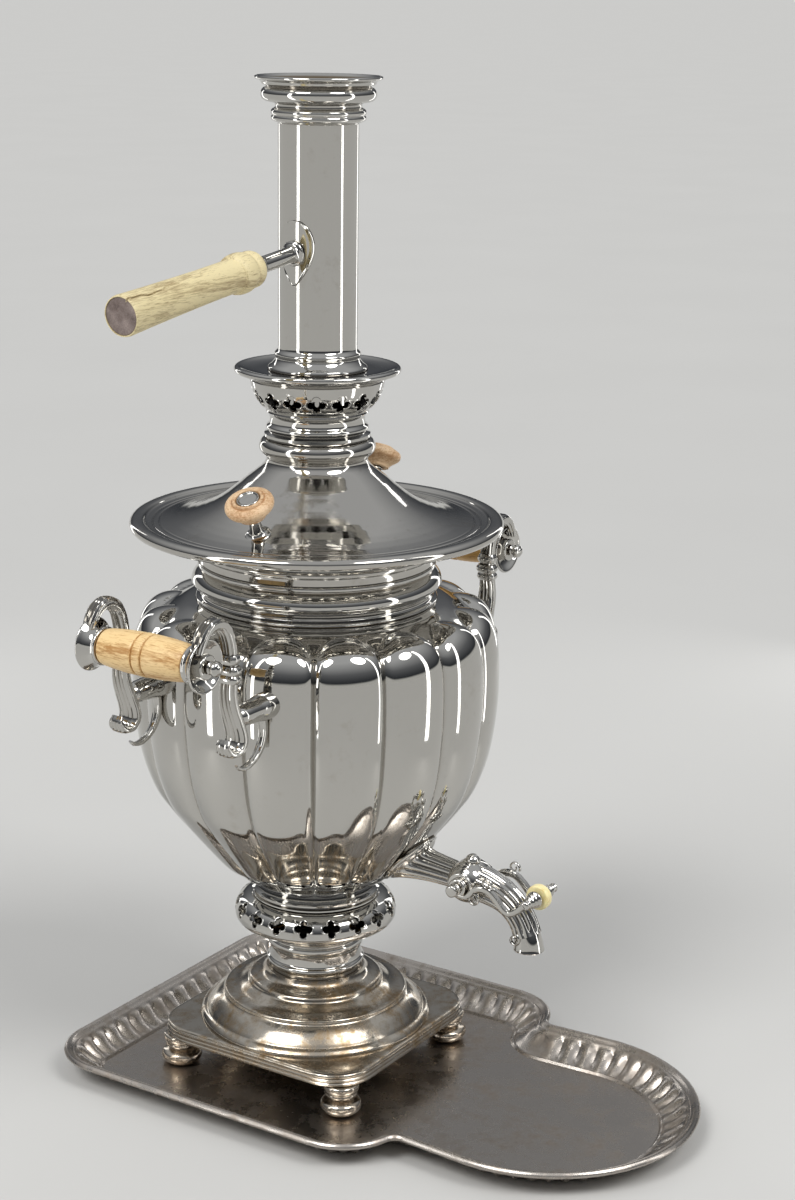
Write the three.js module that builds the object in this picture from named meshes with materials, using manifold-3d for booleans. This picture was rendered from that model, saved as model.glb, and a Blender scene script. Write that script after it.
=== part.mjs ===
// A charcoal samovar of nickel-plated brass on its drip tray. Millimetres, +Z up.
// The origin is on the samovar's axis at the underside of the tray, and the tap faces -Y.
import * as THREE from "three";
import { mergeVertices } from "three/addons/utils/BufferGeometryUtils.js";
import Module from "manifold-3d";

const wasm = await Module();
wasm.setup();

// Clearances, sheet and cutting
const seatGap = 0.3;
const slideGap = 0.5;
const sheet = 1.6;
const cutOverrun = 3;
const weld = 0.0001;
const quarter = Math.PI / 2;

// Drip tray
const traySheet = 2;
const trayHalfWidth = 151;
const trayBackReach = 150;
const trayCornerRadius = 47;
const trayFrontCornerReach = 97;
const trayNeckHalf = 110;
const trayNotchRadius = 8;
const trayLobeReach = 317;
const trayLobeRadius = 113;
const trayRimHeight = 20.5;
const trayWallRun = 29;
const trayFluteDepth = 1.6;
const trayLobeFlutes = 14;
const trayCornerFlutes = 3;
const stepsPerFlute = 2;
// inset from the rim, height and depth of fluting, from the floor up the outside
const trayOutsideShares = [[1.04, 0, 0], [0.96, 0, 0], [0.7, 0.07, 1], [0.18, 0.6, 1], [0, 0.83, 0]];
const trayRimInsetShare = 0.12;

// Feet and plinth
const footHeight = 24;
const footRadius = 15.5;
const footSpread = 73.7;
const footShares = [
  [0.7, 0], [0.98, 0.17], [0.97, 0.36], [0.594, 0.525], [0.79, 0.66], [0.877, 0.84], [0.877, 1],
];
const plinthHalfWidth = 90.6;
const plinthCornerRadius = 33;
const plinthHeight = 10.5;
const plinthReedDepth = 1.2;
const plinthEdgeShares = [
  [1, 0], [0, 0.2], [1, 0.45], [1, 0.55], [0, 0.8], [1, 1],
];

// Stepped dome and stem of the foot
const domeRadius = 88;
const domeHeight = 38;
const footBore = 24;
const domeShares = [
  [1, 0.058], [0.945, 0.155], [0.909, 0.25], [0.793, 0.463], [0.789, 0.55], [0.659, 0.6],
  [0.582, 0.7], [0.572, 0.8], [0.449, 0.895], [0.4, 1],
];
const domeCavityShares = [[0.9, 0.03], [0.72, 0.44], [0.53, 0.66]];
const stemRadius = 38;
const stemHeight = 37.7;
const stemShares = [
  [0.91, 0], [0.968, 0.133], [0.968, 0.212], [0.916, 0.252], [0.916, 0.477], [0.963, 0.56],
  [0.93, 0.69], [1, 0.78], [0.96, 1],
];

// Pierced knop
const knopRadius = 61.3;
const knopHeight = 22;
const knopHoles = 18;
const knopHoleReach = 6.4;
const knopHoleHeightShare = 0.64;
const knopTurn = THREE.MathUtils.degToRad(5);
const knopOuterShares = [
  [0.816, 0.068], [0.938, 0.027], [0.995, 0.16], [1, 0.33], [0.88, 0.95], [0.775, 1],
];
const knopInnerShares = [[0.744, 0.93], [0.85, 0.93], [0.967, 0.33], [0.943, 0.164]];

// Body with its foot ring and raised lobes
const footRingHeight = 7;
const footRingRadius = 49;
const bodyHeight = 224.5;
const bodyRadius = 136.4;
const lobeCount = 16;
const stepsPerLobe = 4;
const lobeFullness = 0.6;
// height, radius at a lobe's crest, radius in the valley beside it
const bodyShares = [
  [0, 0.345, 0.345], [0.04, 0.381, 0.37], [0.115, 0.545, 0.51], [0.23, 0.715, 0.67],
  [0.37, 0.875, 0.82], [0.5, 0.957, 0.898], [0.68, 0.998, 0.935], [0.84, 0.995, 0.928],
  [0.935, 0.96, 0.88], [0.985, 0.87, 0.8], [1, 0.66, 0.66],
];
const liningRows = [10, 8, 7, 6, 5, 4, 3, 2];

// Neck collar
const collarRadius = 92;
const collarHeight = 28.2;
const collarBore = 81.4;
const lidFacets = 28;
const collarShares = [
  [0.96, 0], [0.937, 0.17], [0.98, 0.3], [1, 0.482], [0.982, 0.674], [0.915, 0.83], [0.946, 0.887],
  [0.946, 1],
];

// Fire tube and grate
const tubeFootRadius = 44.2;
const tubeTopRadius = 28.8;
const tubeLedge = 5;
const tubeShares = [[1, 0], [0.9, 0.2], [0, 0.82], [0, 1]];
const grateThickness = 4;
const grateSlotWidth = 5;
const grateSlots = 5;
const grateSlotPitch = 11;

// Lid
const lidRadius = 136.5;
const lidHeight = 90;
const lidBore = 31.5;
const lidDrumRadius = 86.4;
const lidSkirtDepth = 12;
const lidTurn = THREE.MathUtils.degToRad(7);
const lidNeckShares = [[0.278, 1], [0.31, 0.945], [0.297, 0.872], [0.27, 0.833]];
const lidBellShares = [
  [0.286, 0.783], [0.381, 0.664], [0.513, 0.504], [0.601, 0.429], [0.75, 0.352], [0.916, 0.327],
];
const lidRimShares = [[0.93, 0.352], [0.985, 0.348], [1, 0.307], [0.96, 0.26], [0.75, 0.33]];
const lidInnerShares = [[0.505, 0.482], [0.372, 0.644], [0.256, 0.81]];

// Lid knobs, each on a post that leans outward
const knobPlace = 84;
const knobLean = THREE.MathUtils.degToRad(27);
const knobPostRadius = 4.2;
const knobPostFlange = 8.5;
const knobPostRise = 17;
const knobRadius = 17.5;
const knobHeight = 17;
const knobFacets = 10;
const knobCapRadius = 8.6;
const knobCapHeight = 3;
const knobShares = [
  [0.44, 0], [0.5, 0.12], [0.86, 0.33], [1, 0.58], [0.93, 0.78], [0.76, 0.92], [0.56, 0.94],
];

// Crown, the teapot stand
const crownRadius = 60.2;
const crownHeight = 52;
const crownBore = 29.3;
const crownTubeWall = 1.9;
const crownSpigotDepth = 8;
const crownFloorShare = 0.33;
const crownHoles = 16;
const crownHoleReach = 5.9;
const crownHoleHeightShare = 0.64;
const crownSeatShare = 0.954;
const crownOuterShares = [
  [0.635, 0], [0.641, 0.06], [0.588, 0.096], [0.613, 0.155], [0.572, 0.25], [0.605, 0.365],
  [0.69, 0.525], [0.831, 0.873], [0.963, 0.912], [1, 0.948], [0.955, 1],
  [0.731, crownSeatShare],
];
const crownCavityShares = [[0.58, 0.37], [0.655, 0.52], [0.79, 0.86]];

// Chimney pipe
const pipeRadius = 28.5;
const pipeLength = 158;
const spigotRadius = 28.7;
const spigotDepth = 25;
const pipeBore = 26.9;
const chimneyFootRadius = 36;
const chimneyFootHeight = 15;
const chimneyMouthRadius = 45.1;
const chimneyMouthHeight = 32;
const chimneyFootShares = [
  [1, 0], [1, 0.093], [0.84, 0.53], [0.861, 0.72], [0.792, 1],
];
const chimneyMouthShares = [
  [0.632, 0], [0.745, 0.09], [0.72, 0.156], [0.745, 0.22], [0.678, 0.36], [0.86, 0.46],
  [0.905, 0.6], [0.812, 0.775], [0.9, 0.863], [1, 0.93], [0.962, 1], [0.732, 0.719],
];

// Chimney handle, which droops a little from the pipe
const handleRise = 73;
const handleDroop = THREE.MathUtils.degToRad(6.8);
const escutcheonThickness = 1.4;
const escutcheonHalfWidth = 15;
const escutcheonHeight = 46;
const handleRodRadius = 4.8;
const handleFlangeRadius = 11.5;
const handleFlangeThickness = 3;
const handleRodVisible = 39;
const handleGripLength = 151;
const handleGripRadius = 12.5;
const handleDiscRadius = 10.9;
const handleDiscThickness = 1.5;
const handleGripShares = [
  [0.55, 0], [0.9, 0.02], [1.16, 0.09], [1.24, 0.165], [1.1, 0.235], [0.94, 0.265], [1, 0.97],
  [0.96, 1],
];

// Side handles
const sideReach = 197;
const sideHeight = 369;
const sideGripLength = 72;
const sideGripEndRadius = 12.6;
const sideGripRadius = 15;
const gripShares = [
  [0.8, 0], [0.89, 0.07], [0.99, 0.4], [0.94, 0.42], [1, 0.44], [1, 0.56], [0.94, 0.58],
  [0.99, 0.6], [0.89, 0.93], [0.8, 1],
];
const cupThickness = 5;
const bracketThickness = 9;
const bracketEyeRadius = 9;
const tieRodRadius = 3;
const tieBallRadius = 5.4;
const voluteRadius = 20;
const armHalfWidth = 6.2;
const footPadRadius = 9;
const bracketDrop = 50;
const bracketFootShare = 0.787;
// out from the grip's axis and up from it, as shares of the volute's radius
const voluteShares = [
  [0.15, -0.4], [0.7, -0.3], [0.98, 0.3], [0.6, 1.02], [-0.2, 1.22], [-0.98, 0.7], [-1.2, -0.1],
  [-0.98, -0.75], [-0.85, -1.3],
];
// share of the way from the wall to the grip's axis, then up from the foot in volute radii
const loopShares = [
  [0.656, 0.4], [0.525, -0.4], [0.476, -1.1], [0.362, -1.6], [0.149, -1.7], [0.018, -1.2],
  [0.067, -0.55], [0.149, 0],
];

// Tap
const tapReach = 137;
const tapHeight = 174.5;
const hornStart = 72;
const hornDrop = 6;
const hornFlangeRadius = 17;
const hornFlutes = 8;
const hornShares = [[1, 0], [1, 0.16], [0.86, 0.22], [0.66, 0.5], [0.58, 1]];
const chamberRadius = 15.5;
const chamberHalfLength = 15;
const chamberShares = [[0.66, -1], [0.86, -0.82], [1, -0.3], [1, 0.3], [0.86, 0.82], [0.66, 1]];
const spoutReach = 50;
const spoutDrop = 42;
const spoutRadius = 10.6;
const spoutRootRadius = 13.5;
const spoutFlutes = 6;
const waterwayRadius = 5;
const tapRoot = new THREE.Vector3(0, -hornStart, tapHeight + hornDrop);
const tapBarrel = new THREE.Vector3(0, -tapReach, tapHeight);
// forward reach, drop and radius along the spout
const spoutShares = [
  [0.1, 0, 1.27], [0.34, 0.05, 1.2], [0.58, 0.15, 1.08], [0.78, 0.33, 0.98], [0.93, 0.56, 0.95],
  [1, 0.8, 1], [1, 1, 1.04],
];

// Tap key and stirrup lever
const keyRadius = 8.2;
const keyTaperShare = 0.9;
const keyEndRadius = 4.6;
const keyEndLength = 8;
const keyNeckRadius = 3.6;
const hubRadius = 7;
const hubThickness = 5;
const keyBallRadius = 4;
const leverReach = 57;
const leverHalfSpan = 20.5;
const leverArmRadius = 2.9;
const crossbarRadius = 3.6;
const crossbarShares = [
  [0.8, -1.06], [0.9, -0.8], [1.12, -0.5], [0.8, -0.3], [0.8, 0.3], [1.12, 0.5], [0.9, 0.8],
  [0.8, 1.06],
];
const bushRadius = 9.6;
const bushWidth = 7;
// forward reach and rise of a lever arm, as shares of the lever's reach
const armShares = [[0.1, -0.1], [0.3, 0.06], [0.52, 0.03], [0.68, -0.14], [0.84, -0.12], [1, 0]];

// Levels of the stacked pieces
const samovarLevel = traySheet + seatGap;
const plinthLevel = samovarLevel + footHeight + seatGap;
const domeLevel = plinthLevel + plinthHeight;
const stemLevel = domeLevel + domeHeight + seatGap;
const knopLevel = stemLevel + stemHeight + seatGap;
const footRingLevel = knopLevel + knopHeight + seatGap;
const bodyLevel = footRingLevel + footRingHeight;
const collarLevel = bodyLevel + bodyHeight + seatGap;
const lidLevel = collarLevel + collarHeight + seatGap;
const crownLevel = lidLevel + lidHeight + seatGap;
const chimneyLevel = crownLevel + crownHeight * crownSeatShare + seatGap;
const tubeFootLevel = footRingLevel;
const tubeTopLevel = crownLevel - crownSpigotDepth - slideGap;
const sideLevel = samovarLevel + sideHeight - traySheet;

// Finishes
const nickel = { color: 0xcfccc6, roughness: 0.12, metalness: 1 };
const tarnished = { color: 0xa79c8c, roughness: 0.28, metalness: 1 };
const paleWood = { color: 0xdcbd8b, roughness: 0.5, metalness: 0 };
const ivory = { color: 0xefe2bd, roughness: 0.4, metalness: 0 };
const brass = { color: 0xb08d57, roughness: 0.4, metalness: 1 };
const castIron = { color: 0x3b3835, roughness: 0.75, metalness: 1 };
const dullSteel = { color: 0x8d837b, roughness: 0.5, metalness: 1 };

function steps(count) {
  return Array.from({ length: count }, (_, i) => i);
}

function signedVolume(position, index) {
  const [a, b, c] = [new THREE.Vector3(), new THREE.Vector3(), new THREE.Vector3()];
  let total = 0;
  for (let i = 0; i < index.length; i += 3) {
    a.fromBufferAttribute(position, index[i]);
    b.fromBufferAttribute(position, index[i + 1]);
    c.fromBufferAttribute(position, index[i + 2]);
    total += a.dot(b.cross(c));
  }
  return total;
}

// Welds a geometry into one closed skin whose faces point out.
function closed(geometry) {
  const bare = geometry.clone();
  bare.deleteAttribute("normal");
  bare.deleteAttribute("uv");
  const merged = mergeVertices(bare, weld);
  const old = merged.index.array;
  const index = [];
  for (let i = 0; i < old.length; i += 3) {
    const [a, b, c] = [old[i], old[i + 1], old[i + 2]];
    if (a !== b && b !== c && c !== a) index.push(a, b, c);
  }
  if (signedVolume(merged.getAttribute("position"), index) < 0) index.reverse();
  merged.setIndex(index);
  return merged;
}

function solid(geometry) {
  const skin = closed(geometry);
  return new wasm.Manifold(new wasm.Mesh({
    numProp: 3,
    vertProperties: new Float32Array(skin.getAttribute("position").array),
    triVerts: new Uint32Array(skin.index.array),
  }));
}

// The outside of a joined or cut solid, with the spare points on its flat faces taken away.
function skin(manifold) {
  const mesh = manifold.asOriginal().simplify(weld).getMesh();
  const geometry = new THREE.BufferGeometry();
  geometry.setAttribute("position", new THREE.BufferAttribute(mesh.vertProperties, 3));
  geometry.setIndex(new THREE.BufferAttribute(mesh.triVerts, 1));
  return geometry;
}

function join(...geometries) {
  return skin(geometries.map(solid).reduce((a, b) => a.add(b)));
}

function cut(body, ...tools) {
  return skin(tools.map(solid).reduce((a, b) => a.subtract(b), solid(body)));
}

function common(a, b) {
  return skin(solid(a).intersect(solid(b)));
}

// Radii and heights from shares of a radius and a height, standing at a level.
function scaled(shares, radius, height, level = 0) {
  return shares.map(([r, h]) => [r * radius, level + h * height]);
}

// Turns a profile of [radius, height] points round Z. It starts and ends on the axis.
function turned(points, segments) {
  const profile = points.map(([r, h]) => new THREE.Vector2(r, h));
  return new THREE.LatheGeometry(profile, segments).rotateX(quarter);
}

// Turns a closed profile, so that the piece has a bore.
function turnedRing(points, segments) {
  return turned([...points, points[0]], segments);
}

// A solid of revolution filled to the axis.
function turnedSolid(points, segments) {
  return turned([[0, points[0][1]], ...points, [0, points.at(-1)[1]]], segments);
}

function rod(radius, from, to, segments) {
  return turnedSolid([[radius, from], [radius, to]], segments);
}

function ball(radius, segments, level = 0) {
  return new THREE.SphereGeometry(radius, segments, segments / 2)
    .rotateX(quarter)
    .translate(0, 0, level);
}

// Skins a stack of rings of points. Its ends close on a centre point, or on each other.
function loft(rings, looped = false) {
  const count = rings[0].length;
  const points = rings.flat();
  const index = [];
  const bands = looped ? rings.length : rings.length - 1;
  for (const i of steps(bands)) {
    const a = i * count;
    const b = ((i + 1) % rings.length) * count;
    for (const j of steps(count)) {
      const k = (j + 1) % count;
      index.push(a + j, a + k, b + k, a + j, b + k, b + j);
    }
  }
  if (!looped) {
    const end = (rings.length - 1) * count;
    for (const j of steps(count)) {
      const k = (j + 1) % count;
      index.push(k, j, points.length, end + j, end + k, points.length + 1);
    }
    points.push(middle(rings[0]), middle(rings.at(-1)));
  }
  return new THREE.BufferGeometry().setFromPoints(points).setIndex(index);
}

function middle(points) {
  const sum = new THREE.Vector3();
  for (const point of points) sum.add(point);
  return sum.divideScalar(points.length);
}

// A strand along a curve that lies in a plane square to `across`, with an oval section whose
// half width across the plane and half height in it follow the curve.
function strand(curve, across, halfWidth, halfHeight, count, sides) {
  const rings = steps(count + 1).map((i) => {
    const t = i / count;
    const centre = curve.getPoint(t);
    const rise = new THREE.Vector3().crossVectors(curve.getTangent(t), across).normalize();
    return steps(sides).map((j) => {
      const angle = (j / sides) * 2 * Math.PI;
      return centre.clone()
        .addScaledVector(across, Math.cos(angle) * halfWidth(t))
        .addScaledVector(rise, Math.sin(angle) * halfHeight(t));
    });
  });
  return loft(rings);
}

// A petal's tip and its root beside the next one, along and across it, as shares of its reach
const petalShares = [[0.94, -0.26], [0.94, 0.26], [0.34, 0.34]];

// Four petals about a centre, pushed through along +X from one radius to another.
function quatrefoil(reach, from, to, level, turn) {
  const points = steps(4).flatMap((k) => petalShares.map(([along, aside]) => (
    new THREE.Vector2(along, aside).multiplyScalar(reach).rotateAround(new THREE.Vector2(), k * quarter)
  )));
  return new THREE.ExtrudeGeometry(new THREE.Shape(points), { depth: to - from, bevelEnabled: false })
    .rotateY(quarter)
    .translate(from, 0, level)
    .rotateZ(turn);
}

// Columns round an arc of an outline, each with its outward normal and its place in a flute.
function arcColumns(centre, radius, from, to, count, fluted, facing = 1) {
  return steps(count).map((i) => {
    const angle = from + ((to - from) * i) / count;
    const normal = new THREE.Vector2(Math.cos(angle), Math.sin(angle));
    return {
      point: normal.clone().multiplyScalar(radius).add(centre),
      normal: normal.multiplyScalar(facing),
      flute: fluted ? Math.sin((Math.PI * (i % stepsPerFlute)) / stepsPerFlute) : 0,
    };
  });
}

function lineColumns(from, to, count) {
  const normal = new THREE.Vector2(to.y - from.y, from.x - to.x).normalize();
  return steps(count).map((i) => ({
    point: from.clone().lerp(to, i / count),
    normal: normal.clone(),
    flute: 0,
  }));
}

// Rings of an outline's columns, each moved in from the edge and set at a height.
function outlineRings(columns, rows) {
  return rows.map(([inset, height, flute]) => columns.map((column) => {
    const move = (flute ?? 0) * column.flute - inset;
    return new THREE.Vector3(
      column.point.x + column.normal.x * move,
      column.point.y + column.normal.y * move,
      height,
    );
  }));
}

// The keyhole outline of the tray: right half from the lobe's tip to the back, then mirrored.
function trayColumns() {
  const lobe = new THREE.Vector2(0, trayLobeRadius - trayLobeReach);
  const corner = new THREE.Vector2(trayHalfWidth - trayCornerRadius, -trayFrontCornerReach);
  const spread = trayCornerRadius + trayNotchRadius;
  const turn = -Math.acos((trayNeckHalf + trayNotchRadius - corner.x) / spread);
  const notch = new THREE.Vector2(Math.cos(turn), Math.sin(turn)).multiplyScalar(spread).add(corner);
  const rear = new THREE.Vector2(corner.x, trayBackReach - trayCornerRadius);
  const cornerSteps = trayCornerFlutes * stepsPerFlute;
  const half = [
    ...arcColumns(lobe, trayLobeRadius, -quarter, 0, (trayLobeFlutes / 2) * stepsPerFlute, true),
    ...lineColumns(
      new THREE.Vector2(trayLobeRadius, lobe.y),
      new THREE.Vector2(notch.x - trayNotchRadius, notch.y),
      2,
    ),
    ...arcColumns(notch, trayNotchRadius, 2 * quarter, 2 * quarter + turn, 3, false, -1),
    ...arcColumns(corner, trayCornerRadius, turn, 0, cornerSteps, true),
    ...lineColumns(
      new THREE.Vector2(trayHalfWidth, corner.y),
      new THREE.Vector2(trayHalfWidth, rear.y),
      2,
    ),
    ...arcColumns(rear, trayCornerRadius, 0, quarter, cornerSteps, true),
    ...lineColumns(
      new THREE.Vector2(rear.x, trayBackReach),
      new THREE.Vector2(0, trayBackReach),
      1,
    ),
  ];
  const back = { point: new THREE.Vector2(0, trayBackReach), normal: new THREE.Vector2(0, 1), flute: 0 };
  const mirrored = half.slice(1).reverse().map(({ point, normal, flute }) => ({
    point: new THREE.Vector2(-point.x, point.y),
    normal: new THREE.Vector2(-normal.x, normal.y),
    flute,
  }));
  return [...half, back, ...mirrored];
}

function tray() {
  const outside = trayOutsideShares.map(([inset, up]) => [inset * trayWallRun, up * trayRimHeight]);
  const inside = insetLine(outside, -traySheet).slice(0, -1);
  const fluted = (line) => line.map(([inset, height], i) => [
    inset,
    height,
    trayOutsideShares[i][2] * trayFluteDepth,
  ]);
  const rim = [trayRimInsetShare * trayWallRun, trayRimHeight, 0];
  return loft(outlineRings(trayColumns(), [
    ...fluted(inside),
    rim,
    ...fluted(outside).slice(1).reverse(),
  ]));
}

function foot() {
  return turnedSolid(scaled(footShares, footRadius, footHeight), 9);
}

function plinthColumns() {
  const inner = plinthHalfWidth - plinthCornerRadius;
  return steps(4).flatMap((k) => {
    const centre = new THREE.Vector2(inner, inner).rotateAround(new THREE.Vector2(), k * quarter);
    return arcColumns(centre, plinthCornerRadius, k * quarter, (k + 1) * quarter, 5, false)
      .concat(arcColumns(centre, plinthCornerRadius, (k + 1) * quarter, (k + 1) * quarter, 1, false));
  });
}

function plinth() {
  const rows = plinthEdgeShares.map(([inset, height]) => [
    inset * plinthReedDepth,
    plinthLevel + height * plinthHeight,
  ]);
  const slab = loft(outlineRings(plinthColumns(), rows));
  const sunk = plinthHeight / 2;
  const dome = turnedSolid(
    [[domeRadius, domeLevel - sunk], ...scaled(domeShares, domeRadius, domeHeight, domeLevel)],
    22,
  );
  const cavity = scaled(domeCavityShares, domeRadius, domeHeight, domeLevel);
  const hollow = turnedSolid([
    [cavity[0][0], plinthLevel - cutOverrun],
    ...cavity,
    [footBore, domeLevel + domeHeight - sheet],
    [footBore, domeLevel + domeHeight + cutOverrun],
  ], 16);
  return cut(join(slab, dome), hollow);
}

function stem() {
  return turnedRing([
    [footBore, stemLevel],
    ...scaled(stemShares, stemRadius, stemHeight, stemLevel),
    [footBore, stemLevel + stemHeight],
  ], 16);
}

function knop() {
  const outer = scaled(knopOuterShares, knopRadius, knopHeight, knopLevel);
  const inner = scaled(knopInnerShares, knopRadius, knopHeight, knopLevel);
  const shell = turnedRing([
    [footBore, knopLevel],
    [outer[0][0] - sheet, knopLevel],
    ...outer,
    [tubeFootRadius - tubeLedge, knopLevel + knopHeight],
    [tubeFootRadius - tubeLedge, inner[0][1]],
    ...inner,
    [inner.at(-1)[0] - sheet, knopLevel + sheet],
    [footBore, knopLevel + sheet],
  ], knopHoles);
  const level = knopLevel + knopHeight * knopHoleHeightShare;
  const holes = steps(knopHoles).map((i) => quatrefoil(
    knopHoleReach,
    stemRadius,
    knopRadius + cutOverrun,
    level,
    ((i + 0.5) * 4 * quarter) / knopHoles,
  ));
  return cut(shell, ...holes).rotateZ(knopTurn);
}

// How far a point of the wall stands out from valley (0) to crest (1) of a lobe.
function lobeSwell(column) {
  const across = (2 * (column % stepsPerLobe)) / stepsPerLobe - 1;
  return Math.pow(1 - across * across, lobeFullness);
}

// Moves a line of [radius, height] points inward by a distance, square to the line.
function insetLine(line, distance) {
  return line.map(([r, h], i) => {
    const [r0, h0] = line[Math.max(i - 1, 0)];
    const [r1, h1] = line[Math.min(i + 1, line.length - 1)];
    const length = Math.hypot(r1 - r0, h1 - h0);
    return [r - ((h1 - h0) / length) * distance, h + ((r1 - r0) / length) * distance];
  });
}

function lobedRings(thickness) {
  const columns = lobeCount * stepsPerLobe;
  const lines = steps(columns).map((column) => {
    const swell = lobeSwell(column);
    return insetLine(bodyShares.map(([height, crest, valley]) => [
      bodyRadius * (valley + (crest - valley) * swell),
      bodyLevel + bodyHeight * height,
    ]), thickness);
  });
  return bodyShares.map((_, row) => lines.map((line, column) => {
    const angle = columnAngle(column);
    const [r, h] = line[row];
    return new THREE.Vector3(r * Math.cos(angle), r * Math.sin(angle), h);
  }));
}

// The vessel: a lobed shell open at the top and bottom, on its foot ring.
function bodyShell() {
  const outer = lobedRings(0);
  const inner = lobedRings(sheet);
  const hole = tubeFootRadius + seatGap;
  const foot = [[hole, footRingLevel], [footRingRadius, footRingLevel], [footRingRadius, bodyLevel]];
  const rim = [[hole, inner[1][0].z]];
  const shell = loft([
    ...foot.map(roundRing),
    ...outer,
    ...liningRows.map((row) => inner[row]),
    ...rim.map(roundRing),
  ], true);
  return cut(shell, waterInlet());
}

function columnAngle(column) {
  return ((column / stepsPerLobe - 0.5) / lobeCount) * 4 * quarter;
}

function roundRing([radius, height]) {
  return steps(lobeCount * stepsPerLobe).map((column) => {
    const angle = columnAngle(column);
    return new THREE.Vector3(radius * Math.cos(angle), radius * Math.sin(angle), height);
  });
}

// The space that the lobes' crests take, with the clearance of what is fixed against them.
function bodyEnvelope() {
  const crest = bodyShares.map(([height, r]) => [
    r * bodyRadius + seatGap,
    bodyLevel + bodyHeight * height,
  ]);
  return turnedSolid(crest, 64);
}

function neckCollar() {
  return turnedRing([
    [collarBore, collarLevel],
    ...scaled(collarShares, collarRadius, collarHeight, collarLevel),
    [collarBore, collarLevel + collarHeight],
  ], lidFacets);
}

function fireTube() {
  const height = tubeTopLevel - tubeFootLevel;
  const swell = tubeFootRadius - tubeTopRadius;
  const outer = tubeShares.map(([out, up]) => [
    tubeTopRadius + out * swell,
    tubeFootLevel + up * height,
  ]);
  const inner = outer.map(([r, h]) => [r - sheet, h]).slice(1).reverse();
  return turnedRing([
    [tubeFootRadius - tubeLedge, tubeFootLevel],
    ...outer,
    ...inner,
    [tubeFootRadius - sheet, tubeFootLevel + tubeLedge],
    [tubeFootRadius - tubeLedge, tubeFootLevel + tubeLedge],
  ], 16);
}

function grate() {
  const level = tubeFootLevel + tubeLedge + seatGap;
  const radius = tubeFootRadius - sheet - 2 * slideGap;
  const disc = rod(radius, level, level + grateThickness, 20);
  const slots = steps(grateSlots).map((i) => {
    const place = (i - (grateSlots - 1) / 2) * grateSlotPitch;
    const half = Math.sqrt(radius * radius - place * place) * 0.8;
    return new THREE.BoxGeometry(grateSlotWidth, 2 * half, grateThickness + 2 * cutOverrun)
      .translate(place, 0, level + grateThickness / 2);
  });
  return cut(disc, ...slots);
}

function lid() {
  const skirtRadius = collarBore - slideGap;
  const shares = [...lidNeckShares, ...lidBellShares, ...lidRimShares];
  const top = scaled(shares, lidRadius, lidHeight, lidLevel);
  const inner = scaled(lidInnerShares, lidRadius, lidHeight, lidLevel);
  return turnedRing([
    [lidBore, top[0][1]],
    ...top,
    [lidDrumRadius, top.at(-1)[1] + sheet],
    [lidDrumRadius, lidLevel],
    [skirtRadius, lidLevel],
    [skirtRadius, lidLevel - lidSkirtDepth],
    [skirtRadius - sheet, lidLevel - lidSkirtDepth],
    [skirtRadius - sheet, lidLevel + sheet],
    [lidDrumRadius - sheet, lidLevel + sheet],
    [lidDrumRadius - sheet, top.at(-1)[1] + 2 * sheet],
    ...inner,
    [lidBore, inner.at(-1)[1] + sheet],
  ], lidFacets);
}

function lidTopAt(radius) {
  const line = scaled(lidBellShares, lidRadius, lidHeight, lidLevel);
  const i = line.findIndex(([r]) => r >= radius);
  const [[r0, h0], [r1, h1]] = [line[i - 1], line[i]];
  return h0 + ((radius - r0) / (r1 - r0)) * (h1 - h0);
}

// A knob and its post, which leans outward from the lid.
function lidKnob(side) {
  const group = new THREE.Group();
  const turn = lidTurn + (side > 0 ? 0 : 2 * quarter);
  const post = turnedSolid([
    [knobPostFlange, -cutOverrun],
    [knobPostFlange, sheet],
    [knobPostRadius, 2 * sheet],
    [knobPostRadius, knobPostRise + knobHeight - knobCapHeight],
    [knobCapRadius, knobPostRise + knobHeight - knobCapHeight],
    [knobCapRadius, knobPostRise + knobHeight - sheet],
    [knobCapRadius - sheet, knobPostRise + knobHeight],
  ], knobFacets);
  const seat = new THREE.Matrix4().makeRotationZ(turn).multiply(new THREE.Matrix4().compose(
    new THREE.Vector3(knobPlace, 0, lidTopAt(knobPlace)),
    new THREE.Quaternion().setFromAxisAngle(new THREE.Vector3(0, 1, 0), knobLean),
    new THREE.Vector3(1, 1, 1),
  ));
  const wood = turnedRing([
    [knobPostRadius + seatGap, 0],
    ...scaled(knobShares, knobRadius, knobHeight),
    [knobCapRadius + seatGap, knobHeight * 0.94],
    [knobCapRadius + seatGap, knobHeight - knobCapHeight - seatGap],
    [knobPostRadius + seatGap, knobHeight - knobCapHeight - seatGap],
  ], knobFacets).translate(0, 0, knobPostRise).applyMatrix4(seat);
  const name = side > 0 ? "right" : "left";
  group.add(piece(`lid_knob_post_${name}`, cut(post.applyMatrix4(seat), lidEnvelope()), nickel));
  group.add(piece(`lid_knob_${name}`, wood, paleWood));
  return group;
}

// The lid's upper face with the clearance of what is screwed down on it.
function lidEnvelope() {
  const line = scaled(lidBellShares, lidRadius, lidHeight, lidLevel + seatGap);
  return turnedSolid([[line.at(-1)[0], lidLevel], ...line.reverse()], lidFacets);
}

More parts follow.
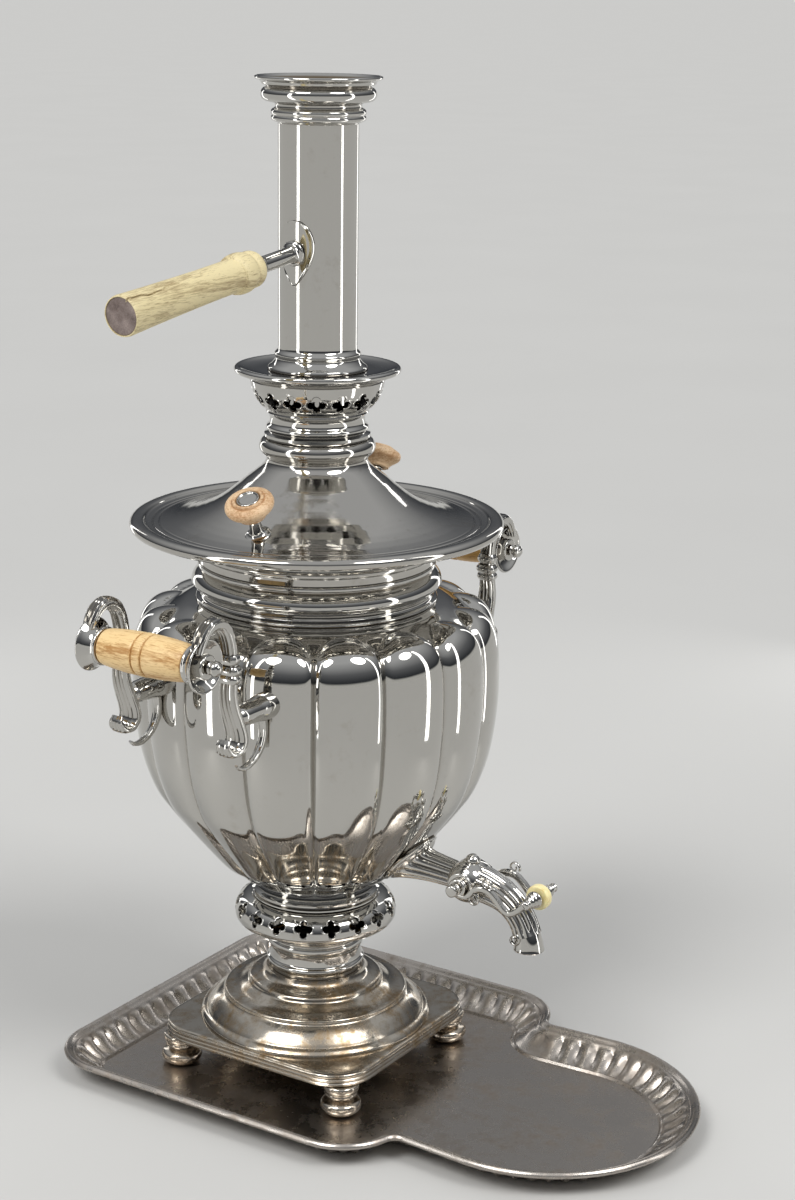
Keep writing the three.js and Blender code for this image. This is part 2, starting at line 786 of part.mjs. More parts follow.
function crown() {
  const outer = scaled(crownOuterShares, crownRadius, crownHeight, crownLevel);
  const spigot = lidBore - slideGap;
  const shell = turnedRing([
    [crownBore, crownLevel - crownSpigotDepth],
    [spigot, crownLevel - crownSpigotDepth],
    [spigot, crownLevel],
    ...outer,
    [crownBore, outer.at(-1)[1]],
  ], crownHoles);
  const tube = crownBore + crownTubeWall;
  const cavityLine = scaled(crownCavityShares, crownRadius, crownHeight, crownLevel);
  const cavity = turnedRing([
    [tube, crownLevel + crownHeight * crownFloorShare],
    ...cavityLine,
    [tube, cavityLine.at(-1)[1]],
  ], crownHoles);
  const level = crownLevel + crownHeight * crownHoleHeightShare;
  const holes = steps(crownHoles).map((i) => quatrefoil(
    crownHoleReach,
    tube + sheet,
    crownRadius,
    level,
    ((i + 0.5) * 4 * quarter) / crownHoles,
  ));
  return cut(shell, cavity, ...holes);
}

function chimney() {
  const mouthLevel = chimneyLevel + chimneyFootHeight + pipeLength;
  const mouth = scaled(chimneyMouthShares, chimneyMouthRadius, chimneyMouthHeight, mouthLevel);
  return turnedRing([
    [pipeBore, chimneyLevel - spigotDepth],
    [spigotRadius, chimneyLevel - spigotDepth],
    [spigotRadius, chimneyLevel],
    ...scaled(chimneyFootShares, chimneyFootRadius, chimneyFootHeight, chimneyLevel),
    ...mouth,
    [pipeBore, mouth.at(-1)[1] - chimneyMouthHeight / 4],
  ], 20);
}

// A shield that follows the pipe's wall, wide and round above and pointed below.
function escutcheon() {
  const wrap = turnedRing([
    [pipeRadius + seatGap, -escutcheonHeight],
    [pipeRadius + seatGap + escutcheonThickness, -escutcheonHeight],
    [pipeRadius + seatGap + escutcheonThickness, escutcheonHeight],
    [pipeRadius + seatGap, escutcheonHeight],
  ], 40);
  const [half, top, low] = [escutcheonHalfWidth, escutcheonHeight * 0.42, -escutcheonHeight * 0.58];
  const shield = new THREE.Shape();
  shield.moveTo(0, low);
  shield.quadraticCurveTo(half * 0.9, low * 0.55, half, 0);
  shield.quadraticCurveTo(half * 0.95, top * 0.95, 0, top);
  shield.quadraticCurveTo(-half * 0.95, top * 0.95, -half, 0);
  shield.quadraticCurveTo(-half * 0.9, low * 0.55, 0, low);
  const blank = new THREE.ExtrudeGeometry(shield, {
    depth: pipeRadius + cutOverrun,
    bevelEnabled: false,
    curveSegments: 5,
  }).rotateX(quarter).rotateZ(-quarter);
  return common(wrap, blank).translate(0, 0, chimneyLevel + handleRise + chimneyFootHeight);
}

// The chimney handle, drawn along +Z from the pipe's axis and then laid toward -X.
function chimneyHandle() {
  const group = new THREE.Group();
  const level = chimneyLevel + chimneyFootHeight + handleRise;
  const start = pipeRadius + seatGap + escutcheonThickness + seatGap;
  const gripStart = start + handleRodVisible;
  const gripEnd = gripStart + handleGripLength;
  const shank = turnedSolid([
    [handleFlangeRadius, pipeRadius - cutOverrun],
    [handleFlangeRadius, start + handleFlangeThickness],
    [handleRodRadius * 1.3, start + 2 * handleFlangeThickness],
    [handleRodRadius, start + 3 * handleFlangeThickness],
    [handleRodRadius, gripEnd - handleDiscThickness - 2 * seatGap],
  ], 10);
  const grip = turnedRing([
    [handleRodRadius + seatGap, gripStart],
    ...scaled(handleGripShares, handleGripRadius, handleGripLength, gripStart),
    [handleDiscRadius + seatGap, gripEnd],
    [handleDiscRadius + seatGap, gripEnd - handleDiscThickness - seatGap],
    [handleRodRadius + seatGap, gripEnd - handleDiscThickness - seatGap],
  ], 12);
  const disc = rod(handleDiscRadius, gripEnd - handleDiscThickness, gripEnd, 12);
  const lay = new THREE.Matrix4().compose(
    new THREE.Vector3(0, 0, level),
    new THREE.Quaternion().setFromAxisAngle(new THREE.Vector3(0, 1, 0), -quarter - handleDroop),
    new THREE.Vector3(1, 1, 1),
  );
  const pipe = rod(start, level - escutcheonHeight, level + escutcheonHeight, 40);
  group.add(piece("chimney_handle_rod", cut(shank.applyMatrix4(lay), pipe), nickel));
  group.add(piece("chimney_handle_grip", grip.applyMatrix4(lay), paleWood));
  group.add(piece("chimney_handle_disc", disc.applyMatrix4(lay), dullSteel));
  return group;
}

// The body's crest radius at a level, where what is fixed to its wall starts.
function crestRadiusAt(level) {
  const share = (level - bodyLevel) / bodyHeight;
  const i = Math.max(bodyShares.findIndex(([height]) => height >= share), 1);
  const [[h0, r0], [h1, r1]] = [bodyShares[i - 1], bodyShares[i]];
  return bodyRadius * (r0 + ((share - h0) / (h1 - h0)) * (r1 - r0));
}

// One scroll bracket of a side handle, drawn for the handle at +X and the end at +Y. It starts
// at the grip's axis, winds round it and loops down to a pad on the body's wall.
function bracket(envelope) {
  const y = bracketPlace();
  const depth = bracketThickness / 2;
  const footLevel = Math.min(sideLevel - bracketDrop, bodyLevel + bodyHeight * bracketFootShare);
  const wall = crestRadiusAt(footLevel);
  const volute = voluteShares.map(([out, up]) => new THREE.Vector3(
    sideReach + out * voluteRadius,
    y,
    sideLevel + up * voluteRadius,
  ));
  const loop = loopShares.map(([out, up]) => new THREE.Vector3(
    wall + out * (sideReach - wall),
    y,
    footLevel + up * voluteRadius,
  ));
  const path = new THREE.CatmullRomCurve3([...volute, ...loop], false, "centripetal");
  const swell = (t) => armHalfWidth * (0.55 + 0.45 * Math.sin(Math.PI * Math.min(1, 0.25 + t * 0.95)));
  const arm = strand(path, new THREE.Vector3(0, 1, 0), () => depth, swell, 17, 5);
  const onAxis = (geometry) => geometry.rotateX(quarter).translate(sideReach, y, sideLevel);
  const eye = onAxis(rod(bracketEyeRadius, -depth, depth, 8));
  const hole = onAxis(rod(tieRodRadius + seatGap, -depth - cutOverrun, depth + cutOverrun, 8));
  const band = volute.at(-1);
  const collar = rod(armHalfWidth * 1.2, -depth * 0.7, depth * 0.7, 6)
    .translate(band.x, band.y, band.z + depth);
  const pad = rod(footPadRadius, wall - footPadRadius, loop.at(-1).x + armHalfWidth / 2, 8)
    .rotateY(quarter)
    .translate(0, y, footLevel);
  return cut(join(arm, eye, collar, pad), hole, envelope);
}

function bracketPlace() {
  return sideGripLength / 2 + seatGap + cupThickness + seatGap + bracketThickness / 2;
}

function mirroredY(geometry) {
  return geometry.clone().scale(1, -1, 1);
}

function sideGrip() {
  const line = gripShares.map(([r, along]) => [
    sideGripRadius * r,
    (along - 0.5) * sideGripLength,
  ]);
  return turnedRing([
    [tieRodRadius + seatGap, line[0][1]],
    ...line,
    [tieRodRadius + seatGap, line.at(-1)[1]],
  ], 10);
}

function cupWasher() {
  const start = sideGripLength / 2 + seatGap;
  return turnedRing([
    [tieRodRadius + seatGap, start],
    [sideGripEndRadius, start],
    [sideGripEndRadius * 0.75, start + cupThickness],
    [tieRodRadius + seatGap, start + cupThickness],
  ], 10);
}

// The tie rod through a side handle, with a ball at each end.
function tieRod() {
  const end = bracketPlace() + bracketThickness / 2 + seatGap;
  const centre = end + tieBallRadius * 0.8;
  const neck = tieBallRadius * 0.6;
  return turned([
    [0, -centre - tieBallRadius], [neck, -centre - neck], [tieBallRadius, -centre], [neck, -end],
    [tieRodRadius, -end], [tieRodRadius, end], [neck, end], [tieBallRadius, centre],
    [neck, centre + neck], [0, centre + tieBallRadius],
  ], 8);
}

function sideHandle(side, arm) {
  const group = new THREE.Group();
  const name = side > 0 ? "right" : "left";
  const lay = (geometry) => geometry.rotateX(quarter).translate(sideReach, 0, sideLevel);
  const turnTo = (geometry) => (side > 0 ? geometry : geometry.clone().scale(-1, 1, 1));
  group.add(piece(`side_grip_${name}`, turnTo(lay(sideGrip())), paleWood));
  group.add(piece(`side_tie_rod_${name}`, turnTo(lay(tieRod())), nickel));
  for (const [end, word] of [[1, "back"], [-1, "front"]]) {
    const washer = lay(cupWasher().scale(1, 1, -1));
    group.add(piece(
      `side_cup_${name}_${word}`,
      turnTo(end > 0 ? washer : mirroredY(washer)),
      nickel,
    ));
    group.add(piece(
      `side_bracket_${name}_${word}`,
      turnTo(end > 0 ? arm.clone() : mirroredY(arm)),
      nickel,
    ));
  }
  return group;
}

// A ring of points round a centre, with every second point on a flute's ridge.
function flutedRing(centre, across, rise, radius, flutes) {
  const count = flutes * 2;
  return steps(count).map((j) => {
    const angle = (j / count) * 4 * quarter;
    const reach = radius * (j % 2 ? 0.88 : 1);
    return centre.clone()
      .addScaledVector(across, Math.cos(angle) * reach)
      .addScaledVector(rise, Math.sin(angle) * reach);
  });
}

// The bore through the body's wall and the horn, as far as the tap's barrel.
function waterInlet() {
  const heading = tapBarrel.clone().sub(tapRoot);
  const upright = new THREE.Vector3(0, 0, 1);
  return rod(waterwayRadius, -hornFlangeRadius, heading.length() + cutOverrun, 8)
    .applyQuaternion(new THREE.Quaternion().setFromUnitVectors(upright, heading.normalize()))
    .translate(tapRoot.x, tapRoot.y, tapRoot.z);
}

// The tap casting: fluted horn, barrel across it, fluted spout turned down, and the water way.
function tapBody(envelope) {
  const across = new THREE.Vector3(1, 0, 0);
  const heading = tapBarrel.clone().sub(tapRoot).normalize();
  const rise = new THREE.Vector3().crossVectors(heading, across).normalize();
  const horn = loft(hornShares.map(([r, t]) => flutedRing(
    tapRoot.clone().lerp(tapBarrel, t), across, rise, r * hornFlangeRadius, hornFlutes,
  )));
  const chamber = turnedSolid(scaled(chamberShares, chamberRadius, chamberHalfLength), 14)
    .rotateY(quarter)
    .translate(0, -tapReach, tapHeight);
  const crest = ball(chamberRadius * 0.45, 8)
    .translate(0, -tapReach, tapHeight + chamberRadius * 0.86);
  const line = spoutShares.map(([out, down, r]) => [
    new THREE.Vector3(0, -tapReach - out * spoutReach, tapHeight - down * spoutDrop),
    r * spoutRadius,
  ]);
  const rings = (radiusOf, flutes) => line.map(([centre, radius], i) => {
    const before = line[Math.max(i - 1, 0)][0];
    const after = line[Math.min(i + 1, line.length - 1)][0];
    const along = after.clone().sub(before).normalize();
    const up = new THREE.Vector3().crossVectors(along, across).normalize();
    return flutedRing(centre, across, up, radiusOf(radius), flutes);
  });
  const spout = loft(rings((radius) => radius, spoutFlutes));
  const mouth = line.at(-1)[0];
  const channel = loft([
    ...rings(() => waterwayRadius, 5).slice(0, -1),
    flutedRing(mouth.clone().setZ(mouth.z - cutOverrun), across, rise.clone().set(0, -1, 0),
      waterwayRadius * 1.5, 5),
  ]);
  const keyway = turnedSolid([
    [keyRadius + seatGap, -chamberHalfLength - cutOverrun],
    [keyRadius * keyTaperShare + seatGap, chamberHalfLength + cutOverrun],
  ], 14).rotateY(quarter).translate(0, -tapReach, tapHeight);
  return cut(join(horn, chamber, crest, spout), keyway, waterInlet(), channel, envelope);
}

// The tapered key across the tap, shut while its port stands upright. Its bare end is toward -X.
function tapKey() {
  const half = chamberHalfLength;
  const shoulder = half + seatGap;
  const key = turnedSolid([
    [keyEndRadius, -shoulder - hubThickness - seatGap - keyEndLength],
    [keyEndRadius, -shoulder - hubThickness - seatGap],
    [keyNeckRadius, -shoulder - hubThickness - seatGap],
    [keyNeckRadius, -shoulder],
    [keyRadius, -half],
    [keyRadius * keyTaperShare, half],
    [keyNeckRadius, shoulder],
    [keyNeckRadius, shoulder + hubThickness],
  ], 14).rotateY(quarter);
  const port = rod(waterwayRadius, -keyRadius - cutOverrun, keyRadius + cutOverrun, 8);
  return cut(key, port).translate(0, -tapReach, tapHeight);
}

// The stirrup: a hub on each end of the key, two curved arms and a turned crossbar.
function tapLever() {
  const across = new THREE.Vector3(1, 0, 0);
  const centre = chamberHalfLength + seatGap + seatGap + hubThickness / 2;
  const arms = [-1, 1].flatMap((side) => {
    const points = armShares.map(([out, up], i) => new THREE.Vector3(
      side * (centre + ((leverHalfSpan - centre) * i) / (armShares.length - 1)),
      -tapReach - out * leverReach,
      tapHeight + up * leverReach,
    ));
    const curve = new THREE.CatmullRomCurve3(points, false, "centripetal");
    const arm = strand(curve, across, () => leverArmRadius * 0.85, () => leverArmRadius, 9, 5);
    const width = hubThickness - seatGap;
    const hub = rod(hubRadius, -width / 2, width / 2, 8)
      .rotateY(quarter)
      .translate(side * centre, -tapReach, tapHeight);
    return [arm, hub];
  });
  const bar = turned([
    [0, crossbarShares[0][1] * leverHalfSpan],
    ...scaled(crossbarShares, crossbarRadius, leverHalfSpan),
    [0, crossbarShares.at(-1)[1] * leverHalfSpan],
  ], 8).rotateY(quarter).translate(0, -tapReach - leverReach, tapHeight);
  const bore = rod(keyNeckRadius + seatGap, -leverHalfSpan * 2, leverHalfSpan * 2, 8)
    .rotateY(quarter)
    .translate(0, -tapReach, tapHeight);
  return cut(join(...arms, bar), bore);
}

function leverBush() {
  const bore = crossbarRadius * 0.8 + seatGap;
  const half = bushWidth / 2;
  return turnedRing([
    [bore, -half], [bushRadius * 0.86, -half], [bushRadius, -half * 0.5], [bushRadius, half * 0.5],
    [bushRadius * 0.86, half], [bore, half],
  ], 12).rotateY(quarter).translate(0, -tapReach - leverReach, tapHeight);
}

function keyNut() {
  const start = chamberHalfLength + 2 * seatGap + hubThickness;
  return turnedSolid([
    [keyNeckRadius, start], [keyNeckRadius, start + seatGap], [keyBallRadius, start + keyBallRadius],
    [keyBallRadius * 0.7, start + keyBallRadius * 1.7],
  ], 10).rotateY(quarter).translate(0, -tapReach, tapHeight);
}

function piece(name, geometry, finish) {
  const skinned = closed(geometry);
  skinned.computeVertexNormals();
  const mesh = new THREE.Mesh(skinned, new THREE.MeshStandardMaterial(finish));
  mesh.name = name;
  return mesh;
}

// The samovar on its tray
const samovar = new THREE.Group();
const envelope = bodyEnvelope();
const arm = bracket(envelope);

samovar.add(piece("drip_tray", tray(), tarnished));
for (const [y, end] of [[-1, "front"], [1, "back"]]) {
  for (const [x, side] of [[-1, "left"], [1, "right"]]) {
    const bun = piece(`foot_${end}_${side}`, foot(), tarnished);
    bun.position.set(x * footSpread, y * footSpread, samovarLevel);
    samovar.add(bun);
  }
}
samovar.add(
  piece("plinth", plinth(), tarnished),
  piece("foot_stem", stem(), nickel),
  piece("pierced_knop", knop(), nickel),
  piece("body_shell", bodyShell(), nickel),
  piece("neck_collar", neckCollar(), nickel),
  piece("fire_tube", fireTube(), brass),
  piece("fire_grate", grate(), castIron),
  piece("lid", lid(), nickel),
  lidKnob(-1),
  lidKnob(1),
  piece("crown", crown(), nickel),
  piece("chimney_pipe", chimney(), nickel),
  piece("chimney_escutcheon", escutcheon(), nickel),
  chimneyHandle(),
  piece("tap_body", tapBody(envelope), nickel),
  piece("tap_key", tapKey(), nickel),
  piece("tap_lever", tapLever(), nickel),
  piece("tap_lever_ring", leverBush(), ivory),
  piece("tap_key_nut", keyNut(), nickel),
  sideHandle(-1, arm),
  sideHandle(1, arm),
);

export default samovar;
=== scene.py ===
import cmath
import math

import bmesh
import bpy
from mathutils import Matrix, Vector


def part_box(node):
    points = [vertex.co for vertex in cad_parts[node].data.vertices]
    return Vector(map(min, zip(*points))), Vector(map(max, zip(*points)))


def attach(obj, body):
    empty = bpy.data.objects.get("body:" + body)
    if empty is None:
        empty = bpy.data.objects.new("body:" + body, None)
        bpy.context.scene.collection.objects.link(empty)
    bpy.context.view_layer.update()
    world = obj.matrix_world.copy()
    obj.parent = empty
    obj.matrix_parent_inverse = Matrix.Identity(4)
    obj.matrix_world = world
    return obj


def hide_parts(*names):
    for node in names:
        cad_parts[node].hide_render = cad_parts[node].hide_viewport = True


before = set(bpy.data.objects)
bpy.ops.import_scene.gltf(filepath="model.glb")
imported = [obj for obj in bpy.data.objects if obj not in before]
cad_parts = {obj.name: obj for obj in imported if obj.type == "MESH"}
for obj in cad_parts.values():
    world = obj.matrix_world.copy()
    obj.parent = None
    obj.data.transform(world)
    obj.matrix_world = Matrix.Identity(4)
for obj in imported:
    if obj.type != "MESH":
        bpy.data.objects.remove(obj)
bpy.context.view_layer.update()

# Drip tray
# One sheet of brass pressed into a keyhole dish that catches what the tap drips. Round flutes
# stiffen its wall and its edge is rolled over. The nickel plate on it has gone brown and dull,
# which gives the eye soft, smoky reflections with brown clouds in them.
mm = 0.001
full_turn = 2 * math.pi
quarter = math.pi / 2

tray_half_width = 151 * mm
tray_back = 150 * mm
tray_corner_radius = 47 * mm
tray_front_corner = 97 * mm
tray_neck_half = 110 * mm
tray_notch_radius = 8 * mm
tray_lobe_reach = 317 * mm
tray_lobe_radius = 113 * mm
tray_flutes = 94
tray_flute_depth = 2.5 * mm
tray_flute_lift_share = 0.35
columns_per_flute = 8
# how far in from the rim, how high, and the share of the flutes' depth there
tray_inside = [
    (29.6, 2, 0), (28.9, 2.8, 0), (28.1, 3.7, 0), (27.2, 3.7, 0), (26.2, 3, 0.1), (24.6, 3.2, 0.5),
    (22.6, 4, 0.85), (19.5, 5.6, 1), (16.6, 7.5, 1), (14.2, 9.5, 1), (12.2, 11.6, 0.95),
    (10.8, 13.6, 0.75), (9.9, 15.1, 0.35), (9.2, 16.2, 0), (8.5, 17.3, 0), (7.7, 17.7, 0),
    (6.9, 17.2, 0), (6, 17.6, 0), (4.8, 19, 0), (3.4, 20.1, 0), (2, 20.4, 0), (0.7, 19.7, 0),
    (0, 18.2, 0), (0.5, 16.6, 0), (1.8, 15.6, 0), (3.6, 15.2, 0),
]
tray_outside = [
    (6.4, 14.6, 0), (8.4, 13.6, 0.5), (11.2, 10.2, 0.95), (13.6, 7.2, 1), (18, 3.9, 1),
    (23, 1.5, 0.8), (26, 0.6, 0.2), (28.6, 0.1, 0), (30, 0, 0),
]


def linear(colour):
    """An sRGB hex colour as the linear values that a shader takes."""
    parts = [int(colour[i:i + 2], 16) / 255 for i in (1, 3, 5)]
    return (*[p / 12.92 if p <= 0.04045 else ((p + 0.055) / 1.055) ** 2.4 for p in parts], 1)


def add(tree, kind, inputs=None, stops=(), **settings):
    """Adds one shader node with its settings, colour stops, input values and links."""
    made = tree.nodes.new("ShaderNode" + kind)
    for name, value in settings.items():
        setattr(made, name, value)
    for i, (place, colour) in enumerate(stops):
        ramp = made.color_ramp.elements
        stop = ramp[i] if i < 2 else ramp.new(place)
        stop.position = place
        stop.color = linear(colour)
    sockets = {socket.identifier: socket for socket in made.inputs}
    for name, value in (inputs or {}).items():
        if isinstance(value, bpy.types.NodeSocket):
            tree.links.new(value, sockets[name])
        else:
            sockets[name].default_value = value
    return made


def new_finish(name):
    """An empty material, its node tree and the place on the piece in metres."""
    material = bpy.data.materials.new(name)
    material.use_nodes = True
    material.node_tree.nodes.clear()
    tree = material.node_tree
    return material, tree, add(tree, "TexCoord").outputs["Object"]


def nickel_plate(name, bright, brown, stained_share, gloss, clouding, sooted=False):
    """Nickel plated on brass and buffed by hand: a near mirror that waves a little where the thin
    sheet does, with brown tarnish in the hollows that the polishing cloth can't reach."""
    cloud_size = 38 * mm
    stain_size = 9 * mm
    dent_size = 14 * mm
    dent_depth = 0.12 * mm
    # real hairlines are finer, and are drawn this coarse so that they show
    hairline = 0.5 * mm
    hairline_depth = 0.006 * mm
    hollow_reach = 5 * mm
    dulling = 0.26
    material, tree, place = new_finish(name)
    clouds = add(tree, "TexNoise", {
        "Vector": place, "Scale": 1 / cloud_size, "Detail": 5.0, "Roughness": 0.62,
    }).outputs["Fac"]
    stains = add(tree, "TexNoise", {
        "Vector": place, "Scale": 1 / stain_size, "Detail": 6.0, "Roughness": 0.7,
    }).outputs["Fac"]
    open_sky = add(tree, "AmbientOcclusion", {"Distance": hollow_reach}, samples=6).outputs["AO"]
    hollows = add(tree, "MapRange", {
        "Value": open_sky, "From Min": 0.25, "From Max": 0.8, "To Min": 1.0, "To Max": 0.0,
    }).outputs["Result"]
    patches = add(tree, "Math", {"Value": clouds, "Value_001": stains}, operation="MULTIPLY")
    patches = add(tree, "MapRange", {
        "Value": patches.outputs["Value"],
        "From Min": 0.34 - 0.16 * stained_share,
        "From Max": 0.46 - 0.1 * stained_share,
        "To Min": 0.0,
        "To Max": stained_share,
    }).outputs["Result"]
    kept_in_hollows = 0.3 + 0.5 * stained_share
    hollows = add(tree, "Math", {
        "Value": hollows, "Value_001": kept_in_hollows,
    }, operation="MULTIPLY").outputs["Value"]
    grime = add(tree, "Math", {
        "Value": hollows, "Value_001": patches,
    }, operation="MAXIMUM").outputs["Value"]
    shades = [(0.0, bright), (1.0, brown)]
    if sooted:
        # the sides that face the flue carry the black of the fire
        flat = add(tree, "VectorMath", {
            "Vector": place, "Vector_001": (1, 1, 0),
        }, operation="MULTIPLY").outputs["Vector"]
        outward = add(tree, "VectorMath", {"Vector": flat}, operation="NORMALIZE").outputs["Vector"]
        normal = add(tree, "NewGeometry").outputs["Normal"]
        facing = add(tree, "VectorMath", {
            "Vector": outward, "Vector_001": normal,
        }, operation="DOT_PRODUCT").outputs["Value"]
        soot = add(tree, "MapRange", {
            "Value": facing, "From Min": -0.7, "From Max": -0.5, "To Min": 1.0, "To Max": 0.0,
        }).outputs["Result"]
        grime = add(tree, "Math", {
            "Value": grime, "Value_001": soot,
        }, operation="MAXIMUM").outputs["Value"]
        shades = [(0.0, bright), (1.0, "#1d1a17"), (0.9, brown)]
    metal = add(tree, "ValToRGB", {"Fac": grime}, shades).outputs["Color"]
    dulled = add(tree, "MapRange", {
        "Value": grime, "To Min": 0.0, "To Max": dulling,
    }).outputs["Result"]
    clouded = add(tree, "MapRange", {
        "Value": clouds, "From Min": 0.35, "From Max": 0.7, "To Min": gloss, "To Max": gloss + clouding,
    }).outputs["Result"]
    roughness = add(tree, "Math", {
        "Value": dulled, "Value_001": clouded,
    }, operation="ADD").outputs["Value"]
    dents = add(tree, "TexNoise", {
        "Vector": place, "Scale": 1 / dent_size, "Detail": 1.0,
    }).outputs["Fac"]
    waves = add(tree, "Bump", {
        "Height": dents, "Strength": 0.3, "Distance": dent_depth,
    }).outputs["Normal"]
    rubbed = add(tree, "TexNoise", {
        "Vector": place, "Scale": 1 / hairline, "Detail": 2.0,
    }).outputs["Fac"]
    skin = add(tree, "Bump", {
        "Height": rubbed, "Normal": waves, "Strength": 0.12, "Distance": hairline_depth,
    }).outputs["Normal"]
    shader = add(tree, "BsdfPrincipled", {
        "Base Color": metal, "Metallic": 1.0, "Roughness": roughness, "Normal": skin,
    })
    add(tree, "OutputMaterial", {"Surface": shader.outputs["BSDF"]})
    return material


def lofted(rings, looped=False):
    """A skin over a stack of rings of points. Its two ends close on a middle point or on each other."""
    count = len(rings[0])
    points = [point for ring in rings for point in ring]
    faces = []
    for i in range(len(rings) if looped else len(rings) - 1):
        low, high = i * count, (i + 1) % len(rings) * count
        faces += [
            (low + j, low + (j + 1) % count, high + (j + 1) % count, high + j) for j in range(count)
        ]
    for start in () if looped else (0, (len(rings) - 1) * count):
        faces += [(start + j, start + (j + 1) % count, len(points)) for j in range(count)]
        points.append(sum(points[start:start + count], Vector((0, 0, 0))) / count)
    return points, faces


def joined(*shapes):
    """Several shapes as one, not fused."""
    points, faces = [], []
    for more_points, more_faces in shapes:
        faces += [tuple(len(points) + i for i in face) for face in more_faces]
        points += more_points
    return points, faces


def moved(shape, place):
    """A shape after a move or a turn."""
    return [place @ point for point in shape[0]], shape[1]


def mesh_of(name, shape):
    """The shape as a clean mesh: close points are welded and its faces look outward."""
    weld = 0.002 * mm
    mesh = bpy.data.meshes.new(name)
    mesh.from_pydata([tuple(point) for point in shape[0]], [], shape[1])
    form = bmesh.new()
    form.from_mesh(mesh)
    bmesh.ops.remove_doubles(form, verts=form.verts, dist=weld)
    bmesh.ops.dissolve_degenerate(form, edges=form.edges, dist=weld)
    bmesh.ops.recalc_face_normals(form, faces=form.faces)
    form.to_mesh(mesh)
    form.free()
    return mesh


def placed_object(name, data):
    """A new object in the scene that shows a mesh, a lamp or a camera."""
    made = bpy.data.objects.new(name, data)
    bpy.context.scene.collection.objects.link(made)
    return made


def piece(name, shape, material, body, slot, *stands_for):
    """Makes the shape into an object that rides on its body of the frame in place of CAD nodes."""
    crease = math.radians(38)
    mesh = mesh_of(name, shape)
    mesh.shade_smooth()
    mesh.set_sharp_from_angle(angle=crease)
    mesh.materials.append(material)
    made = placed_object(name, mesh)
    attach(made, body)
    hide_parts(*stands_for)
    return made


def arc(centre, radius, start, end, spacing=1 * mm):
    """Points along an arc, as complex numbers, without its last one."""
    count = max(2, round(abs(end - start) * radius / spacing))
    return [
        centre + cmath.rect(radius, start + (end - start) * i / count) for i in range(count)
    ]


def straight(start, end, spacing=2 * mm):
    """Points along a straight stretch, as complex numbers, without its last one."""
    count = max(1, round(abs(end - start) / spacing))
    return [start + (end - start) * i / count for i in range(count)]


def keyhole():
    """The tray's outline, from the tip of its lobe round to the right, back and left."""
    lobe = complex(0, tray_lobe_radius - tray_lobe_reach)
    corner = complex(tray_half_width - tray_corner_radius, -tray_front_corner)
    spread = tray_corner_radius + tray_notch_radius
    turn = -math.acos((tray_neck_half + tray_notch_radius - corner.real) / spread)
    notch = corner + cmath.rect(spread, turn)
    rear = complex(corner.real, tray_back - tray_corner_radius)
    half = [
        *arc(lobe, tray_lobe_radius, -quarter, 0),
        *straight(lobe + tray_lobe_radius, notch - tray_notch_radius),
        *arc(notch, tray_notch_radius, 2 * quarter, 2 * quarter + turn),
        *arc(corner, tray_corner_radius, turn, 0),
        *straight(corner + tray_corner_radius, rear + tray_corner_radius),
        *arc(rear, tray_corner_radius, 0, quarter),
        *straight(complex(rear.real, tray_back), complex(0, tray_back)),
    ]
    return half + [complex(0, tray_back)] + [-point.conjugate() for point in reversed(half[1:])]


def evenly(outline, count):
    """A closed outline cut into equal steps, each a point and its outward direction."""
    closed_line = outline + outline[:1]
    lengths = [0]
    for a, b in zip(closed_line, closed_line[1:]):
        lengths.append(lengths[-1] + abs(b - a))
    points, at = [], 0
    for i in range(count):
        wanted = lengths[-1] * i / count
        while lengths[at + 1] < wanted:
            at += 1
        share = (wanted - lengths[at]) / (lengths[at + 1] - lengths[at])
        points.append(closed_line[at] + share * (closed_line[at + 1] - closed_line[at]))
    reach = 3
    steps = []
    for i, point in enumerate(points):
        along = points[(i + reach) % count] - points[i - reach]
        steps.append((point, -1j * along / abs(along)))
    return steps


def tray_shape():
    """Rings of points from the middle of the floor up over the rim and down under the tray."""
    columns = evenly(keyhole(), tray_flutes * columns_per_flute)
    rings = []
    for inset, height, share in tray_inside + tray_outside:
        ring = []
        for i, (point, outward) in enumerate(columns):
            bulge = abs(math.sin(math.pi * i / columns_per_flute)) * share * tray_flute_depth
            place = point - outward * (inset * mm + bulge)
            ring.append(Vector((place.real, place.imag, height * mm + bulge * tray_flute_lift_share)))
        rings.append(ring)
    return lofted(rings)


tray_nickel = nickel_plate("tarnished_tray_nickel", "#b8b1a9", "#95887b", 0.7, 0.23, 0.06)
piece("pressed_drip_tray", tray_shape(), tray_nickel, "tray", "tarnished_nickel", "drip_tray")

# Feet
# Four bun feet turned from brass bar: a bun below, a deep neck and a rounded shoulder. Each is
# held by a screw up through it into the plinth. The nickel is worn to yellow on their rims.
foot_radius = 15.5 * mm
foot_softness = 1.2 * mm
foot_columns = 64
foot_line = [
    (0, 0), (0.6, 0), (0.858, 0.06), (1, 0.22), (1, 0.3), (0.929, 0.425), (0.594, 0.505),
    (0.594, 0.545), (0.787, 0.62), (0.8, 0.68), (0.76, 0.72), (0.877, 0.8), (0.877, 1), (0, 1),
]


def scaled(shares, radius, height, level=0):
    """Radii and heights from shares of a radius and a height that stands at a level."""
    return [Vector((r * radius, level + h * height)) for r, h in shares]


def rounded(line, reach, rounds=1, looped=False):
    """A line whose corners are cut back by up to that reach in each round, to turn softly."""
    corner_share = 0.28
    for _ in range(rounds):
        soft = []
        last = len(line) - 1
        for i, at in enumerate(line):
            if not looped and i in (0, last):
                soft.append(at)
                continue
            for other in (line[i - 1], line[(i + 1) % len(line)]):
                gap = other - at
                cut = min(reach, gap.length * corner_share)
                soft.append(at + gap.normalized() * cut)
        line = soft
        reach /= 2
    return line


